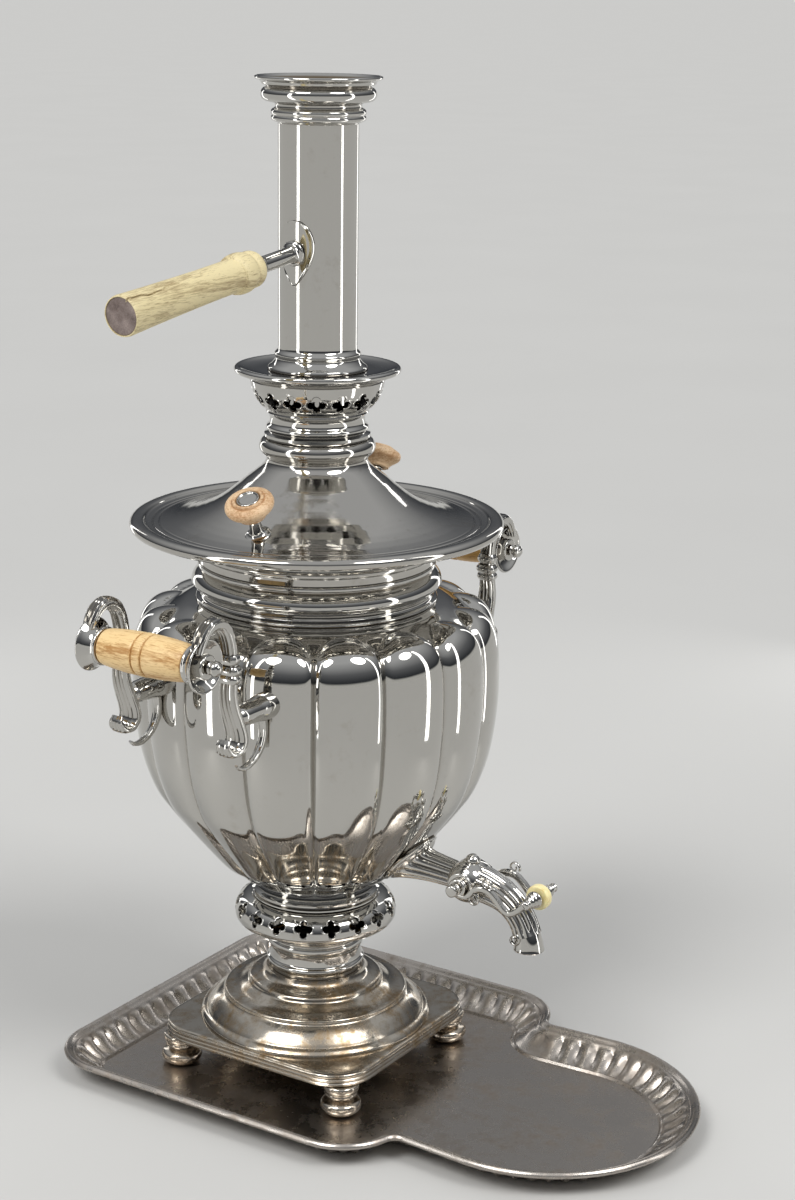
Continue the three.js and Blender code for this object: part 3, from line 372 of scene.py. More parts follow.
def stepped(line, step=3 * mm):
    """A line with its long spans cut into steps, so that shading bends only near their ends."""
    fine = []
    slack = 0.01
    for a, b in zip(line, line[1:]):
        count = max(1, math.ceil((b - a).length / step - slack))
        fine += [a.lerp(b, i / count) for i in range(count)]
    return fine + [line[-1]]


def turned(line, columns=96, looped=True):
    """A line of radii and heights turned round the upright axis."""
    line = stepped(line)
    directions = [cmath.rect(1, full_turn * i / columns) for i in range(columns)]
    rings = [[Vector((r * d.real, r * d.imag, h)) for d in directions] for r, h in line]
    points, faces = lofted(rings, looped=True)
    return (points, faces) if looped else (points, faces[:-columns])


foot_nickel = nickel_plate("worn_foot_nickel", "#c0b8ac", "#8c7048", 0.55, 0.12, 0.08)
for end in ("front", "back"):
    for side in ("left", "right"):
        low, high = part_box(f"foot_{end}_{side}")
        line = rounded(scaled(foot_line, foot_radius, high.z - low.z, low.z), foot_softness, 2)
        middle = Matrix.Translation(((low.x + high.x) / 2, (low.y + high.y) / 2, 0))
        piece(
            f"turned_foot_{end}_{side}", moved(turned(line, foot_columns), middle), foot_nickel,
            "samovar", "tarnished_nickel", f"foot_{end}_{side}",
        )

# Plinth and dome
# A square base pressed from sheet brass, with round corners, three reeds round its edge and a
# stepped dome raised in its middle. It is open below. The flat top is brown between polishings.
plinth_half = 90.6 * mm
plinth_corner = 33 * mm
plinth_height = 10.5 * mm
plinth_sheet = 1.2 * mm
plinth_edge_inside = 2.6 * mm
plinth_fold = 3.4 * mm
dome_radius = 88 * mm
dome_height = 38 * mm
dome_root_share = 0.92
dome_softness = 2 * mm
foot_bore = 24 * mm
plinth_columns = 168
# inset and height of the reeded edge, from below to above
plinth_edge = [
    (1.9, 0), (0.6, 0.1), (0.1, 0.8), (0.1, 1.8), (0.7, 2.5), (1.1, 2.8), (0.7, 3.1), (0.2, 3.8),
    (0.2, 4.9), (0.8, 5.5), (1.2, 5.8), (0.8, 6.1), (0.3, 6.8), (0.3, 8.1), (0.8, 8.8), (1.3, 9.1),
    (1, 9.5), (1.2, 10.1), (2, 10.5), (3.4, 10.5),
]
dome_line = [
    (1.0, 0.0), (1.0, 0.045), (0.99, 0.075), (0.972, 0.12), (0.945, 0.14), (0.938, 0.165),
    (0.925, 0.21), (0.905, 0.26), (0.88, 0.325), (0.852, 0.385), (0.822, 0.43), (0.795, 0.462),
    (0.789, 0.5), (0.789, 0.54), (0.775, 0.56), (0.75, 0.566), (0.715, 0.572), (0.685, 0.588),
    (0.659, 0.613), (0.632, 0.652), (0.605, 0.69), (0.584, 0.715), (0.578, 0.75), (0.572, 0.79),
    (0.555, 0.818), (0.528, 0.837), (0.495, 0.852), (0.468, 0.875), (0.449, 0.905), (0.435, 0.94),
    (0.425, 1.0),
]
dome_inside = [
    (0.273, 0.955), (0.386, 0.9), (0.455, 0.789), (0.534, 0.697), (0.625, 0.534), (0.727, 0.487),
    (0.807, 0.355), (0.875, 0.211), (0.909, 0.026),
]


def square_reach(angle, half, corner):
    """How far a square with round corners reaches in a direction."""
    a = angle % quarter
    a = min(a, quarter - a)
    if half * math.tan(a) <= half - corner:
        return half / math.cos(a)
    diagonal = (half - corner) * math.sqrt(2)
    off = a - quarter / 2
    return diagonal * math.cos(off) + math.sqrt(corner ** 2 - (diagonal * math.sin(off)) ** 2)


def plinth_shape(level):
    """Rings round the edge, over the top and the dome, through its bore and back underneath."""
    angles = [full_turn * i / plinth_columns for i in range(plinth_columns)]

    def square_ring(inset, height):
        ring = []
        for angle in angles:
            reach = square_reach(angle, plinth_half - inset, plinth_corner - inset)
            ring.append(Vector((reach * math.cos(angle), reach * math.sin(angle), height)))
        return ring

    def round_ring(radius, height):
        return [Vector((radius * math.cos(a), radius * math.sin(a), height)) for a in angles]

    top = level + plinth_height
    outside = [square_ring(inset * mm, level + height * mm) for inset, height in plinth_edge]
    dome = rounded(scaled(dome_line, dome_radius, dome_height, top), dome_softness)
    inside = scaled(dome_inside, dome_radius, dome_height, top)
    under = top - plinth_sheet
    rings = outside + [round_ring(*point) for point in dome]
    rings += [round_ring(foot_bore, top + dome_height), round_ring(foot_bore, inside[0].y)]
    rings += [round_ring(*point) for point in inside]
    rings += [round_ring(dome_radius * dome_root_share, under), square_ring(plinth_fold, under)]
    rings += [
        square_ring(plinth_edge_inside, height) for height in (under - plinth_sheet, level)
    ]
    return lofted(rings, looped=True)


plinth_nickel = nickel_plate("tarnished_plinth_nickel", "#bdb6aa", "#846a44", 0.85, 0.1, 0.1)
piece(
    "pressed_plinth", plinth_shape(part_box("plinth")[0].z), plinth_nickel,
    "samovar", "tarnished_nickel", "plinth",
)

# Stem of the foot
# A short drum spun from brass, with a bead below, a hollow between two fillets and a lip above.
# A nut inside the knop draws it down on the dome. Its polish is the best on the whole foot.
stem_radius = 38 * mm
stem_softness = 0.8 * mm
stem_line = [
    (0.911, 0), (0.905, 0.07), (0.935, 0.095), (0.968, 0.133), (0.975, 0.17), (0.968, 0.212),
    (0.93, 0.235), (0.916, 0.262), (0.912, 0.37), (0.916, 0.47), (0.935, 0.51), (0.963, 0.544),
    (0.97, 0.6), (0.963, 0.65), (0.93, 0.68), (0.94, 0.72), (0.985, 0.755), (1, 0.8), (1, 0.845),
    (0.985, 0.885), (0.947, 0.915), (0.955, 0.955), (0.987, 0.985), (0.987, 1),
]
bright_nickel = nickel_plate("buffed_nickel_plate", "#c3c1bc", "#75644a", 0.14, 0.03, 0.045)
stem_low, stem_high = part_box("foot_stem")
stem_edge = scaled(stem_line, stem_radius, stem_high.z - stem_low.z, stem_low.z)
stem_bore = [Vector((foot_bore, stem_high.z)), Vector((foot_bore, stem_low.z))]
piece(
    "spun_stem", turned(rounded(stem_edge, stem_softness) + stem_bore), bright_nickel,
    "samovar", "nickel_plate", "foot_stem",
)

# Pierced knop
# A hollow ring spun from sheet, in which 18 quatrefoils are sawn to let air in under the fire.
# A raised lip runs round each hole and catches the light. The foot's bolt holds the ring.
knop_radius = 61.3 * mm
knop_holes = 18
knop_hole_reach = 6.8 * mm
knop_hole_level = 0.63
knop_turn = math.radians(-4)
knop_sheet = 1.3 * mm
knop_throat = 39.2 * mm
knop_softness = 2 * mm
knop_band_half = 8 * mm
knop_line = [
    (0.80, 0.0), (0.835, 0.03), (0.885, 0.015), (0.938, 0.027), (0.965, 0.055), (0.962, 0.085),
    (0.984, 0.13), (0.997, 0.22), (1, 0.33), (0.995, 0.45), (0.982, 0.58), (0.959, 0.709),
    (0.925, 0.82), (0.871, 0.91), (0.82, 0.955), (0.775, 1.0),
]
cell_columns = 8
petal_shares = (0.42, 0.58)
# the raised lip round a hole: its width as a share of the hole, its height as one of the sheet
lip_width_share = 0.17
lip_height_share = 0.14


def line_lengths(line):
    """How far along a line each of its points lies."""
    lengths = [0]
    for a, b in zip(line, line[1:]):
        lengths.append(lengths[-1] + (b - a).length)
    return lengths


def inset_line(line, distance):
    """A line of radii and heights moved square to itself, inward for a line that climbs."""
    moved_line = []
    for i, at in enumerate(line):
        along = (line[min(i + 1, len(line) - 1)] - line[max(i - 1, 0)]).normalized()
        moved_line.append(at + Vector((-along.y, along.x)) * distance)
    return moved_line


def at_length(line, lengths, wanted):
    """The point at a length along a line whose lengths may be another line's."""
    i = max(1, next((k for k, l in enumerate(lengths) if l >= wanted), len(lengths) - 1))
    share = (wanted - lengths[i - 1]) / (lengths[i] - lengths[i - 1])
    return line[i - 1].lerp(line[i], share)


def quatrefoil(reach):
    """Four round petals about a middle, in steps that start and end between two petals."""
    petal, off = (share * reach for share in petal_shares)
    outline = []
    for k in range(4):
        for j in range(cell_columns):
            lean = quarter * (j / cell_columns - 0.5)
            side = max(0.0, petal ** 2 - (off * math.sin(lean)) ** 2)
            outline.append(cmath.rect(off * math.cos(lean) + math.sqrt(side), k * quarter + lean))
    return outline


def cell_border(half_width, half_height):
    """A rectangle in the same steps, so that its corners lie between the petals."""
    outline = []
    for k in range(4):
        for j in range(cell_columns):
            across = 2 * j / cell_columns - 1
            corner = complex(1, across) * 1j ** k
            outline.append(complex(corner.real * half_width, corner.imag * half_height))
    return outline


def pierced_band(outer, inner, middle, half, reach, holes, turn):
    """A band of a turned shell with a row of holes through it, from cell to cell round the axis."""
    lengths = line_lengths(outer)
    radius = at_length(outer, lengths, middle).x
    hole = quatrefoil(reach)
    border = cell_border(math.pi * radius / holes, half)
    edge_width = reach * lip_width_share
    lip_start, lip_end, grown = (
        [point * (1 + edge_width * share / abs(point)) for point in hole] for share in (0.3, 0.7, 1)
    )
    stages = [grown] + [
        [a + (b - a) * share for a, b in zip(grown, border)] for share in (0.12, 0.4, 0.7, 1)
    ]
    raised = [at + (at - under) * lip_height_share for at, under in zip(outer, inner)]
    shapes = []
    for cell in range(holes):
        facing = turn + full_turn * (cell + 0.5) / holes

        def placed(outline, line):
            ring = []
            for point in outline:
                r, h = at_length(line, lengths, middle + point.imag)
                angle = facing + point.real / radius
                ring.append(Vector((r * math.cos(angle), r * math.sin(angle), h)))
            return ring

        rings = [placed(outline, inner) for outline in reversed(stages[1:])]
        rings += [placed(hole, inner), placed(hole, outer)]
        rings += [placed(lip_start, raised), placed(lip_end, raised)]
        rings += [placed(outline, outer) for outline in stages]
        points, faces = lofted(rings, looped=True)
        shapes.append((points, faces[:-len(hole)]))
    return joined(*shapes)


def past_band(line, lengths, middle, half):
    """The parts of a line below and above a pierced band, each up to the band's edge."""
    low, high = middle - half, middle + half
    spare = 0.4 * mm
    below = [point for point, l in zip(line, lengths) if l < low - spare]
    above = [point for point, l in zip(line, lengths) if l > high + spare]
    return below + [at_length(line, lengths, low)], [at_length(line, lengths, high)] + above


def level_length(line, level):
    """The length along a line at which it first climbs to a level."""
    lengths = line_lengths(line)
    i = next(k for k in range(1, len(line)) if line[k].y >= level > line[k - 1].y)
    share = (level - line[i - 1].y) / (line[i].y - line[i - 1].y)
    return lengths[i - 1] + share * (lengths[i] - lengths[i - 1])


def knop_shape(low, high):
    """The pierced band, and the turned strips above and below it with the rims of both mouths."""
    outer = rounded(scaled(knop_line, knop_radius, high - low, low), knop_softness)
    inner = inset_line(outer, knop_sheet)
    lengths = line_lengths(outer)
    middle = level_length(outer, low + knop_hole_level * (high - low))
    outer_lower, outer_upper = past_band(outer, lengths, middle, knop_band_half)
    inner_lower, inner_upper = past_band(inner, lengths, middle, knop_band_half)
    throat = [Vector((knop_throat, level)) for level in (high, high - knop_sheet)]
    bore = [Vector((foot_bore, level)) for level in (low + knop_sheet, low)]
    spin = Matrix.Rotation(knop_turn, 4, "Z")
    strips = [
        moved(turned(strip, knop_holes * cell_columns, looped=False), spin)
        for strip in (outer_upper + throat + inner_upper[::-1], inner_lower[::-1] + bore + outer_lower)
    ]
    return joined(*strips, pierced_band(
        outer, inner, middle, knop_band_half, knop_hole_reach, knop_holes, knop_turn))


knop_low, knop_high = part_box("pierced_knop")
piece(
    "pierced_air_knop", knop_shape(knop_low.z, knop_high.z), bright_nickel,
    "samovar", "nickel_plate", "pierced_knop",
)

# Body
# The vessel, raised from one sheet of brass: 16 lobes with round heads stand out from a smooth
# shoulder that falls between them, over a foot ring. It is soldered to its neck and to the fire
# tube, and plated and buffed to a mirror, in which each lobe draws the lamps out into streaks.
lobes = 16
columns_per_lobe = 18
body_sheet = 1.6 * mm
body_hole = 44.6 * mm
hole_depth = 9 * mm
foot_ring_radius = 49 * mm
# how far in from the foot ring's radius and how high, in mm
foot_ring_line = [
    (0.6, 0), (0, 0.6), (0, 1.6), (2, 2.4), (2.2, 3.2), (0.6, 4), (0.4, 5.2), (1.4, 6.2), (2.6, 7),
]
# height above the table under the tray, radius on a lobe's crest, radius in the valley beside it
body_rows = [
    (143.3, 46, 46), (148.5, 50.5, 49.5), (153.6, 57.5, 55), (160.3, 65.5, 61.5), (168.3, 76, 71.3),
    (189.3, 94, 88.3), (208.3, 109.2, 102.7), (226.3, 121, 113.8), (254.3, 130.6, 122.8),
    (289.3, 135.6, 127.5), (320.3, 136.2, 128.4), (340.3, 134.4, 126.5), (352.3, 130.4, 122.2),
    (360.3, 124.6, 116.4), (364.8, 116.4, 110.2), (366.6, 107, 103.6), (367.2, 98, 96.6),
    (367.3, 88, 88),
]
# how far the shoulder lies below the height of a lobe's crest, in mm by row
shoulder_falls = [0] * 11 + [0.6, 3, 5, 5.2, 3.4, 1.2, 0]
# rows from which the lobes start to close and at which they end, at their heads and roots
lobe_heads = (11.6, 15)
head_roundness = 1.6
lobe_roots = (3.2, 0.9)
root_roundness = 4
lobe_roundness = 0.46
valley_softness = 0.02
steps_per_row = 7


def through(points, steps):
    """A smooth line through all the points, with that many steps from each to the next."""
    ends = [2 * points[0] - points[1], *points, 2 * points[-1] - points[-2]]
    line = []
    for p0, p1, p2, p3 in zip(ends, ends[1:], ends[2:], ends[3:]):
        for i in range(steps):
            t = i / steps
            line.append((
                2 * p1 + (p2 - p0) * t + (2 * p0 - 5 * p1 + 4 * p2 - p3) * t ** 2
                + (3 * p1 - p0 - 3 * p2 + p3) * t ** 3
            ) / 2)
    return line + [points[-1]]


def lobe_swell(across, row):
    """How far the wall stands out at a place across a lobe, from 0 in the valley to 1."""
    head = max(0, (row - lobe_heads[0]) / (lobe_heads[1] - lobe_heads[0]))
    root = max(0, (row - lobe_roots[0]) / (lobe_roots[1] - lobe_roots[0]))
    room = 1 - across ** 2 - head ** head_roundness - root ** root_roundness
    soft = (room + math.sqrt(room ** 2 + valley_softness ** 2)) / 2
    return soft ** lobe_roundness


def body_shape():
    """Rings up the foot ring and the lobed wall, and down the lining to the hole for the tube."""
    columns = lobes * columns_per_lobe
    directions = [
        cmath.rect(1, full_turn * (i / columns_per_lobe - 0.5) / lobes) for i in range(columns)
    ]
    rows = [Vector((*row, fall)) * mm for row, fall in zip(body_rows, shoulder_falls)]
    lines = through(rows, steps_per_row)
    rings = []
    for i, (height, crest, valley, fall) in enumerate(lines):
        ring = []
        for j, direction in enumerate(directions):
            across = 2 * (j % columns_per_lobe) / columns_per_lobe - 1
            swell = lobe_swell(across, i / steps_per_row)
            radius = valley + (crest - valley) * swell
            level = height - fall * (1 - min(1, swell))
            ring.append(Vector((radius * direction.real, radius * direction.imag, level)))
        rings.append(ring)

    def round_ring(radius, height):
        return [Vector((radius * d.real, radius * d.imag, height)) for d in directions]

    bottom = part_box("body_shell")[0].z
    foot = [round_ring(body_hole, bottom)] + [
        round_ring(foot_ring_radius - inset * mm, bottom + height * mm)
        for inset, height in foot_ring_line
    ]
    lining = [
        round_ring(valley - body_sheet, height - fall - body_sheet)
        for height, crest, valley, fall in reversed(lines[steps_per_row // 2::steps_per_row])
    ]
    lining.append(round_ring(body_hole, bottom + hole_depth))
    return lofted(foot + rings + lining, looped=True)


piece("lobed_body", body_shape(), bright_nickel, "samovar", "nickel_plate", "body_shell")

# Neck collar
# A spun ring soldered on the shoulder, into which the lid's skirt drops. A half round stands over
# a cove and a thin flange, and a quirk runs below the lip, where the tarnish keeps.
collar_radius = 92 * mm
collar_bore = 81.4 * mm
collar_softness = 1 * mm
collar_columns = 160
collar_line = [
    (0.96, 0), (0.967, 0.03), (0.963, 0.065), (0.944, 0.08), (0.928, 0.11), (0.92, 0.16),
    (0.926, 0.22), (0.947, 0.285), (0.975, 0.36), (0.996, 0.44), (1, 0.51), (0.992, 0.62),
    (0.97, 0.72), (0.935, 0.801), (0.915, 0.83), (0.916, 0.86), (0.946, 0.887), (0.95, 0.93),
    (0.946, 0.985), (0.94, 1),
]
collar_low, collar_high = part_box("neck_collar")
collar_edge = scaled(collar_line, collar_radius, collar_high.z - collar_low.z, collar_low.z)
collar_inside = [Vector((collar_bore, collar_high.z)), Vector((collar_bore, collar_low.z))]
collar_shape = turned(rounded(collar_edge, collar_softness) + collar_inside, collar_columns)
piece("spun_neck_collar", collar_shape, bright_nickel, "samovar", "nickel_plate", "neck_collar")

# Fire tube and grate
# A brass tube stands in the water from the knop up into the lid, wide below for the charcoal and
# narrow above for the draught. It isn't plated, and the fire has browned it. The grate that lies
# on its ledge is cast iron with five slots, rough from the sand and grey with ash.
# radius in mm and share of the height, from above to below
tube_line = [(28.8, 1), (28.8, 0.82), (30.5, 0.76), (36, 0.5), (41.5, 0.26), (43.6, 0.14), (44.2, 0)]
tube_wall = 1.6 * mm
tube_ledge = 5 * mm
tube_softness = 1 * mm


def fired_brass():
    """Bare drawn brass that has been through many fires: yellow brown, blotched and matt."""
    blotch_size = 16 * mm
    grit = 0.8 * mm
    grit_depth = 0.05 * mm
    material, tree, place = new_finish("fired_drawn_brass")
    blotches = add(tree, "TexNoise", {
        "Vector": place, "Scale": 1 / blotch_size, "Detail": 5.0, "Roughness": 0.6,
    }).outputs["Fac"]
    browned = add(tree, "ValToRGB", {"Fac": blotches}, [(0.35, "#4f3d26"), (0.68, "#a98447")])
    matt = add(tree, "MapRange", {"Value": blotches, "To Min": 0.62, "To Max": 0.3}).outputs["Result"]
    grains = add(tree, "TexNoise", {"Vector": place, "Scale": 1 / grit}).outputs["Fac"]
    skin = add(tree, "Bump", {
        "Height": grains, "Strength": 0.3, "Distance": grit_depth,
    }).outputs["Normal"]
    shader = add(tree, "BsdfPrincipled", {
        "Base Color": browned.outputs["Color"], "Metallic": 1.0, "Roughness": matt, "Normal": skin,
    })
    add(tree, "OutputMaterial", {"Surface": shader.outputs["BSDF"]})
    return material


def cast_iron():
    """Grey iron cast in sand: a coarse, matt skin, with pale ash in the rough."""
    sand = 1.1 * mm
    sand_depth = 0.35 * mm
    material, tree, place = new_finish("sand_cast_iron")
    grains = add(tree, "TexNoise", {
        "Vector": place, "Scale": 1 / sand, "Detail": 4.0, "Roughness": 0.7,
    }).outputs["Fac"]
    ashed = add(tree, "ValToRGB", {"Fac": grains}, [(0.4, "#2c2927"), (0.72, "#7d766f")])
    skin = add(tree, "Bump", {
        "Height": grains, "Strength": 0.7, "Distance": sand_depth,
    }).outputs["Normal"]
    matt = add(tree, "MapRange", {"Value": grains, "To Min": 0.68, "To Max": 0.92}).outputs["Result"]
    shader = add(tree, "BsdfPrincipled", {
        "Base Color": ashed.outputs["Color"], "Metallic": 0.6, "Roughness": matt, "Normal": skin,
    })
    add(tree, "OutputMaterial", {"Surface": shader.outputs["BSDF"]})
    return material


tube_low, tube_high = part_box("fire_tube")
tube_outer = [
    Vector((r * mm, tube_low.z + share * (tube_high.z - tube_low.z))) for r, share in tube_line
]
tube_inner = [Vector((point.x - tube_wall, point.y)) for point in reversed(tube_outer[:-1])]
tube_seat = [
    Vector((tube_outer[-1].x - tube_ledge, tube_low.z)),
    Vector((tube_outer[-1].x - tube_ledge, tube_low.z + tube_ledge)),
    Vector((tube_outer[-1].x - tube_wall, tube_low.z + tube_ledge)),
]
tube_edge = rounded(tube_outer + tube_seat + tube_inner, tube_softness, 2, looped=True)
piece("drawn_fire_tube", turned(tube_edge), fired_brass(), "samovar", "raw_brass", "fire_tube")

grate_slots = 5
grate_pitch = 11 * mm
grate_slot = 5 * mm
grate_slot_share = 0.8
grate_rim = 0.5 * mm
grate_columns = 72


def grate_disc(low, high):
    """The iron disc with its edges broken."""
    radius = high.x
    return turned([
        Vector((0, low.z)), Vector((radius - grate_rim, low.z)), Vector((radius, low.z + grate_rim)),
        Vector((radius, high.z - grate_rim)), Vector((radius - grate_rim, high.z)),
        Vector((0, high.z)),
    ], grate_columns)


def grate_slot_shapes(low, high):
    """Blocks with round ends that fill the slots, shorter to the sides of the disc."""
    end_steps = 6
    slots = []
    for i in range(grate_slots):
        x = (i - (grate_slots - 1) / 2) * grate_pitch
        half = math.sqrt(high.x ** 2 - x ** 2) * grate_slot_share
        outline = []
        for middle, start in ((complex(x, half), 0), (complex(x, -half), math.pi)):
            outline += [
                middle + cmath.rect(grate_slot / 2, start + k * math.pi / end_steps)
                for k in range(end_steps + 1)
            ]
        slots.append(lofted([
            [Vector((p.real, p.imag, z)) for p in outline]
            for z in (low.z - grate_rim, high.z + grate_rim)
        ]))
    return joined(*slots)


grate_low, grate_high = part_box("fire_grate")
grate = piece(
    "cast_fire_grate", grate_disc(grate_low, grate_high), cast_iron(),
    "samovar", "grate_iron", "fire_grate",
)
cutter = placed_object("grate_slots", mesh_of("grate_slots", grate_slot_shapes(grate_low, grate_high)))
sawn = grate.modifiers.new("slots", "BOOLEAN")
sawn.object = cutter
sawn.operation = "DIFFERENCE"
sawn.solver = "EXACT"
bpy.context.view_layer.update()
sawn_grate = grate.evaluated_get(bpy.context.evaluated_depsgraph_get())
sawn_mesh = bpy.data.meshes.new_from_object(sawn_grate)
grate.modifiers.clear()
grate.data = sawn_mesh
bpy.data.objects.remove(cutter)

# Lid
# A wide brim that catches drips from the teapot, spun in one with a bell that rises round the
# chimney. Its edge is rolled, two fine lines are turned in the brim, and a drum with a skirt
# below drops into the neck. The brim is soft with wiping, the bell still a mirror.
lid_radius = 136.5 * mm
lid_height = 90 * mm
lid_bore = 31.5 * mm
lid_drum = 86.4 * mm
lid_skirt = 12 * mm
lid_sheet = 1.2 * mm
lid_softness = 0.5 * mm
lid_columns = 192
skirt_play = 0.5 * mm
lid_top_line = [
    (0.249, 0.984), (0.262, 0.996), (0.278, 1), (0.295, 0.99), (0.305, 0.967), (0.31, 0.94),
    (0.308, 0.91), (0.297, 0.885), (0.283, 0.868), (0.273, 0.848), (0.27, 0.83), (0.275, 0.808),
    (0.286, 0.783), (0.305, 0.755), (0.33, 0.724), (0.355, 0.694), (0.381, 0.664), (0.41, 0.626),
    (0.44, 0.589), (0.475, 0.546), (0.513, 0.504), (0.555, 0.464), (0.601, 0.429), (0.655, 0.395),
    (0.711, 0.367), (0.77, 0.346), (0.828, 0.332), (0.838, 0.3305), (0.842, 0.3255), (0.846, 0.3300),
    (0.872, 0.327), (0.876, 0.3215), (0.88, 0.3265), (0.905, 0.326), (0.916, 0.33), (0.922, 0.343),
    (0.932, 0.352), (0.947, 0.354), (0.965, 0.354), (0.98, 0.35), (0.992, 0.338), (0.999, 0.322),
    (1, 0.305), (0.996, 0.285), (0.985, 0.268), (0.968, 0.262), (0.952, 0.268), (0.945, 0.282),
    (0.935, 0.296), (0.916, 0.302), (0.87, 0.305), (0.828, 0.309), (0.77, 0.322), (0.711, 0.344),
]
lid_inside = [
    (0.505, 0.482), (0.432, 0.567), (0.372, 0.644), (0.321, 0.704), (0.275, 0.766), (0.256, 0.822),
]
lid_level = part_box("lid")[1].z - lid_height
lid_top = scaled(lid_top_line, lid_radius, lid_height, lid_level)
skirt_radius = collar_bore - skirt_play
skirt_low = lid_level - lid_skirt
drum_roof = lid_top[-1].y
# the drum's top, its bead and its lower edge: how far out from the drum, and how high
drum_line = [
    (1.5 * mm, drum_roof - 0.6 * mm), (0, drum_roof - 2 * mm), (0, lid_level + 10 * mm),
    (1.1 * mm, lid_level + 9 * mm), (1.1 * mm, lid_level + 6.5 * mm), (0, lid_level + 5.5 * mm),
    (0, lid_level),
]
lid_below = [Vector((lid_drum + out, height)) for out, height in drum_line] + [
    Vector((skirt_radius, lid_level)), Vector((skirt_radius, skirt_low)),
    Vector((skirt_radius - lid_sheet, skirt_low)),
    Vector((skirt_radius - lid_sheet, lid_level + lid_sheet)),
    Vector((lid_drum - lid_sheet, lid_level + lid_sheet)),
    Vector((lid_drum - lid_sheet, drum_roof - 2 * lid_sheet)),
]
lid_lining = scaled(lid_inside, lid_radius, lid_height, lid_level)
lid_line = rounded(lid_top + lid_below, lid_softness) + lid_lining
lid_line += [
    Vector((lid_bore, level)) for level in (lid_lining[-1].y + lid_sheet, lid_top[0].y - lid_sheet)
]
lid_nickel = nickel_plate("wiped_lid_nickel", "#c0bdb7", "#75664f", 0.25, 0.05, 0.07)
piece("spun_lid", turned(lid_line, lid_columns), lid_nickel, "lid", "nickel_plate", "lid")

# Lid knobs
# Two flat knobs turned from pale wood, by which the hot lid is lifted. Each sits on a post that
# leans outward and flares where it is screwed to the lid. A dished metal nut holds it, sunk in
# the wood inside a raised ring and a groove.
knob_place = 88 * mm
knob_lean = math.radians(27)
knob_turn = math.radians(7)
knob_rise = 17 * mm
knob_radius = 17.5 * mm
knob_height = 17 * mm
knob_seat_height = 35.4 * mm
knob_softness = 0.6 * mm
post_softness = 0.8 * mm
knob_columns = 64
post_columns = 48
# radius and height in mm
post_line = [
    (0, -1.5), (9.2, -1.5), (9.6, 0.4), (9, 1.6), (7.2, 2.2), (5.8, 3.4), (4.9, 5.4), (4.3, 8.5),
    (4.1, 12), (4.4, 14.5), (5.4, 15.7), (5.6, 16.6), (4.2, 17), (4.2, 30), (0, 30),
]
cap_line = [
    (0, 29.6), (8.2, 29.6), (8.4, 30.6), (8.4, 32), (8, 32.7), (7.4, 32.9), (6.9, 32.5), (6.4, 31.9),
    (4.6, 31.6), (2.2, 31.9), (0, 32),
]
knob_line = [
    (0.33, 0.0), (0.54, 0.0), (0.58, 0.03), (0.58, 0.08), (0.64, 0.17), (0.75, 0.27), (0.87, 0.37),
    (0.965, 0.46), (1.0, 0.56), (0.995, 0.66), (0.96, 0.74), (0.925, 0.775), (0.91, 0.765),
    (0.895, 0.79), (0.84, 0.825), (0.76, 0.855), (0.7, 0.86), (0.675, 0.83), (0.655, 0.83),
    (0.645, 0.87), (0.63, 0.93), (0.59, 0.96), (0.55, 0.96), (0.51, 0.93), (0.495, 0.88),
    (0.495, 0.77), (0.26, 0.77),
]


def turned_part(line, softness, columns, rounds=1):
    """A part turned from bar, from a line in mm."""
    return turned(rounded([Vector(point) * mm for point in line], softness, rounds), columns)


def turned_wood(name, pale, dark, grain, axis, stretch, gloss):
    """Pale wood turned on a lathe and wiped with oil: fine streaks that run along one axis, broad
    bands of paler and darker wood, short dark pores, painted shade in its grooves and a soft shine."""
    band = 9 * grain
    pore = 0.45 * grain
    pore_depth = 0.12 * mm
    hollow_reach = 2.5 * mm
    material, tree, place = new_finish(name)
    stretched = [1 / stretch if letter == axis else 1 for letter in "XYZ"]
    along = add(tree, "Mapping", {"Vector": place, "Scale": stretched}).outputs["Vector"]
    bands = add(tree, "TexNoise", {"Vector": along, "Scale": 1 / band, "Detail": 3.0}).outputs["Fac"]
    streaks = add(tree, "TexNoise", {
        "Vector": along, "Scale": 1 / grain, "Detail": 5.0, "Roughness": 0.65,
    }).outputs["Fac"]
    pores = add(tree, "TexNoise", {"Vector": along, "Scale": 1 / pore, "Detail": 2.0}).outputs["Fac"]
    pores = add(tree, "MapRange", {
        "Value": pores, "From Min": 0.3, "From Max": 0.42, "To Min": 0.55, "To Max": 0.0,
    }).outputs["Result"]
    both = add(tree, "Math", {
        "Value": bands, "Value_001": streaks,
    }, operation="ADD").outputs["Value"]
    tone = add(tree, "MapRange", {
        "Value": both, "From Min": 0.78, "From Max": 1.2,
    }).outputs["Result"]
    tone = add(tree, "Math", {
        "Value": tone, "Value_001": pores,
    }, operation="SUBTRACT", use_clamp=True).outputs["Value"]
    # painted shade: the wood's colour darkens in its grooves and where other parts close in over it, by
    # how enclosed each point is
    hollows = add(tree, "AmbientOcclusion", {"Distance": hollow_reach}, samples=6).outputs["AO"]
    hollows = add(tree, "MapRange", {
        "Value": hollows, "From Min": 0.3, "From Max": 0.85,
    }).outputs["Result"]
    tone = add(tree, "Math", {
        "Value": tone, "Value_001": hollows,
    }, operation="MULTIPLY").outputs["Value"]
    grained = add(tree, "ValToRGB", {"Fac": tone}, [(0.0, dark), (0.62, pale)])
    shine = add(tree, "MapRange", {
        "Value": streaks, "From Min": 0.3, "From Max": 0.7, "To Min": gloss + 0.14, "To Max": gloss,
    }).outputs["Result"]
    skin = add(tree, "Bump", {
        "Height": tone, "Strength": 0.35, "Distance": pore_depth,
    }).outputs["Normal"]
    shader = add(tree, "BsdfPrincipled", {
        "Base Color": grained.outputs["Color"], "Roughness": shine, "Normal": skin, "IOR": 1.48,
    })
    add(tree, "OutputMaterial", {"Surface": shader.outputs["BSDF"]})
    return material


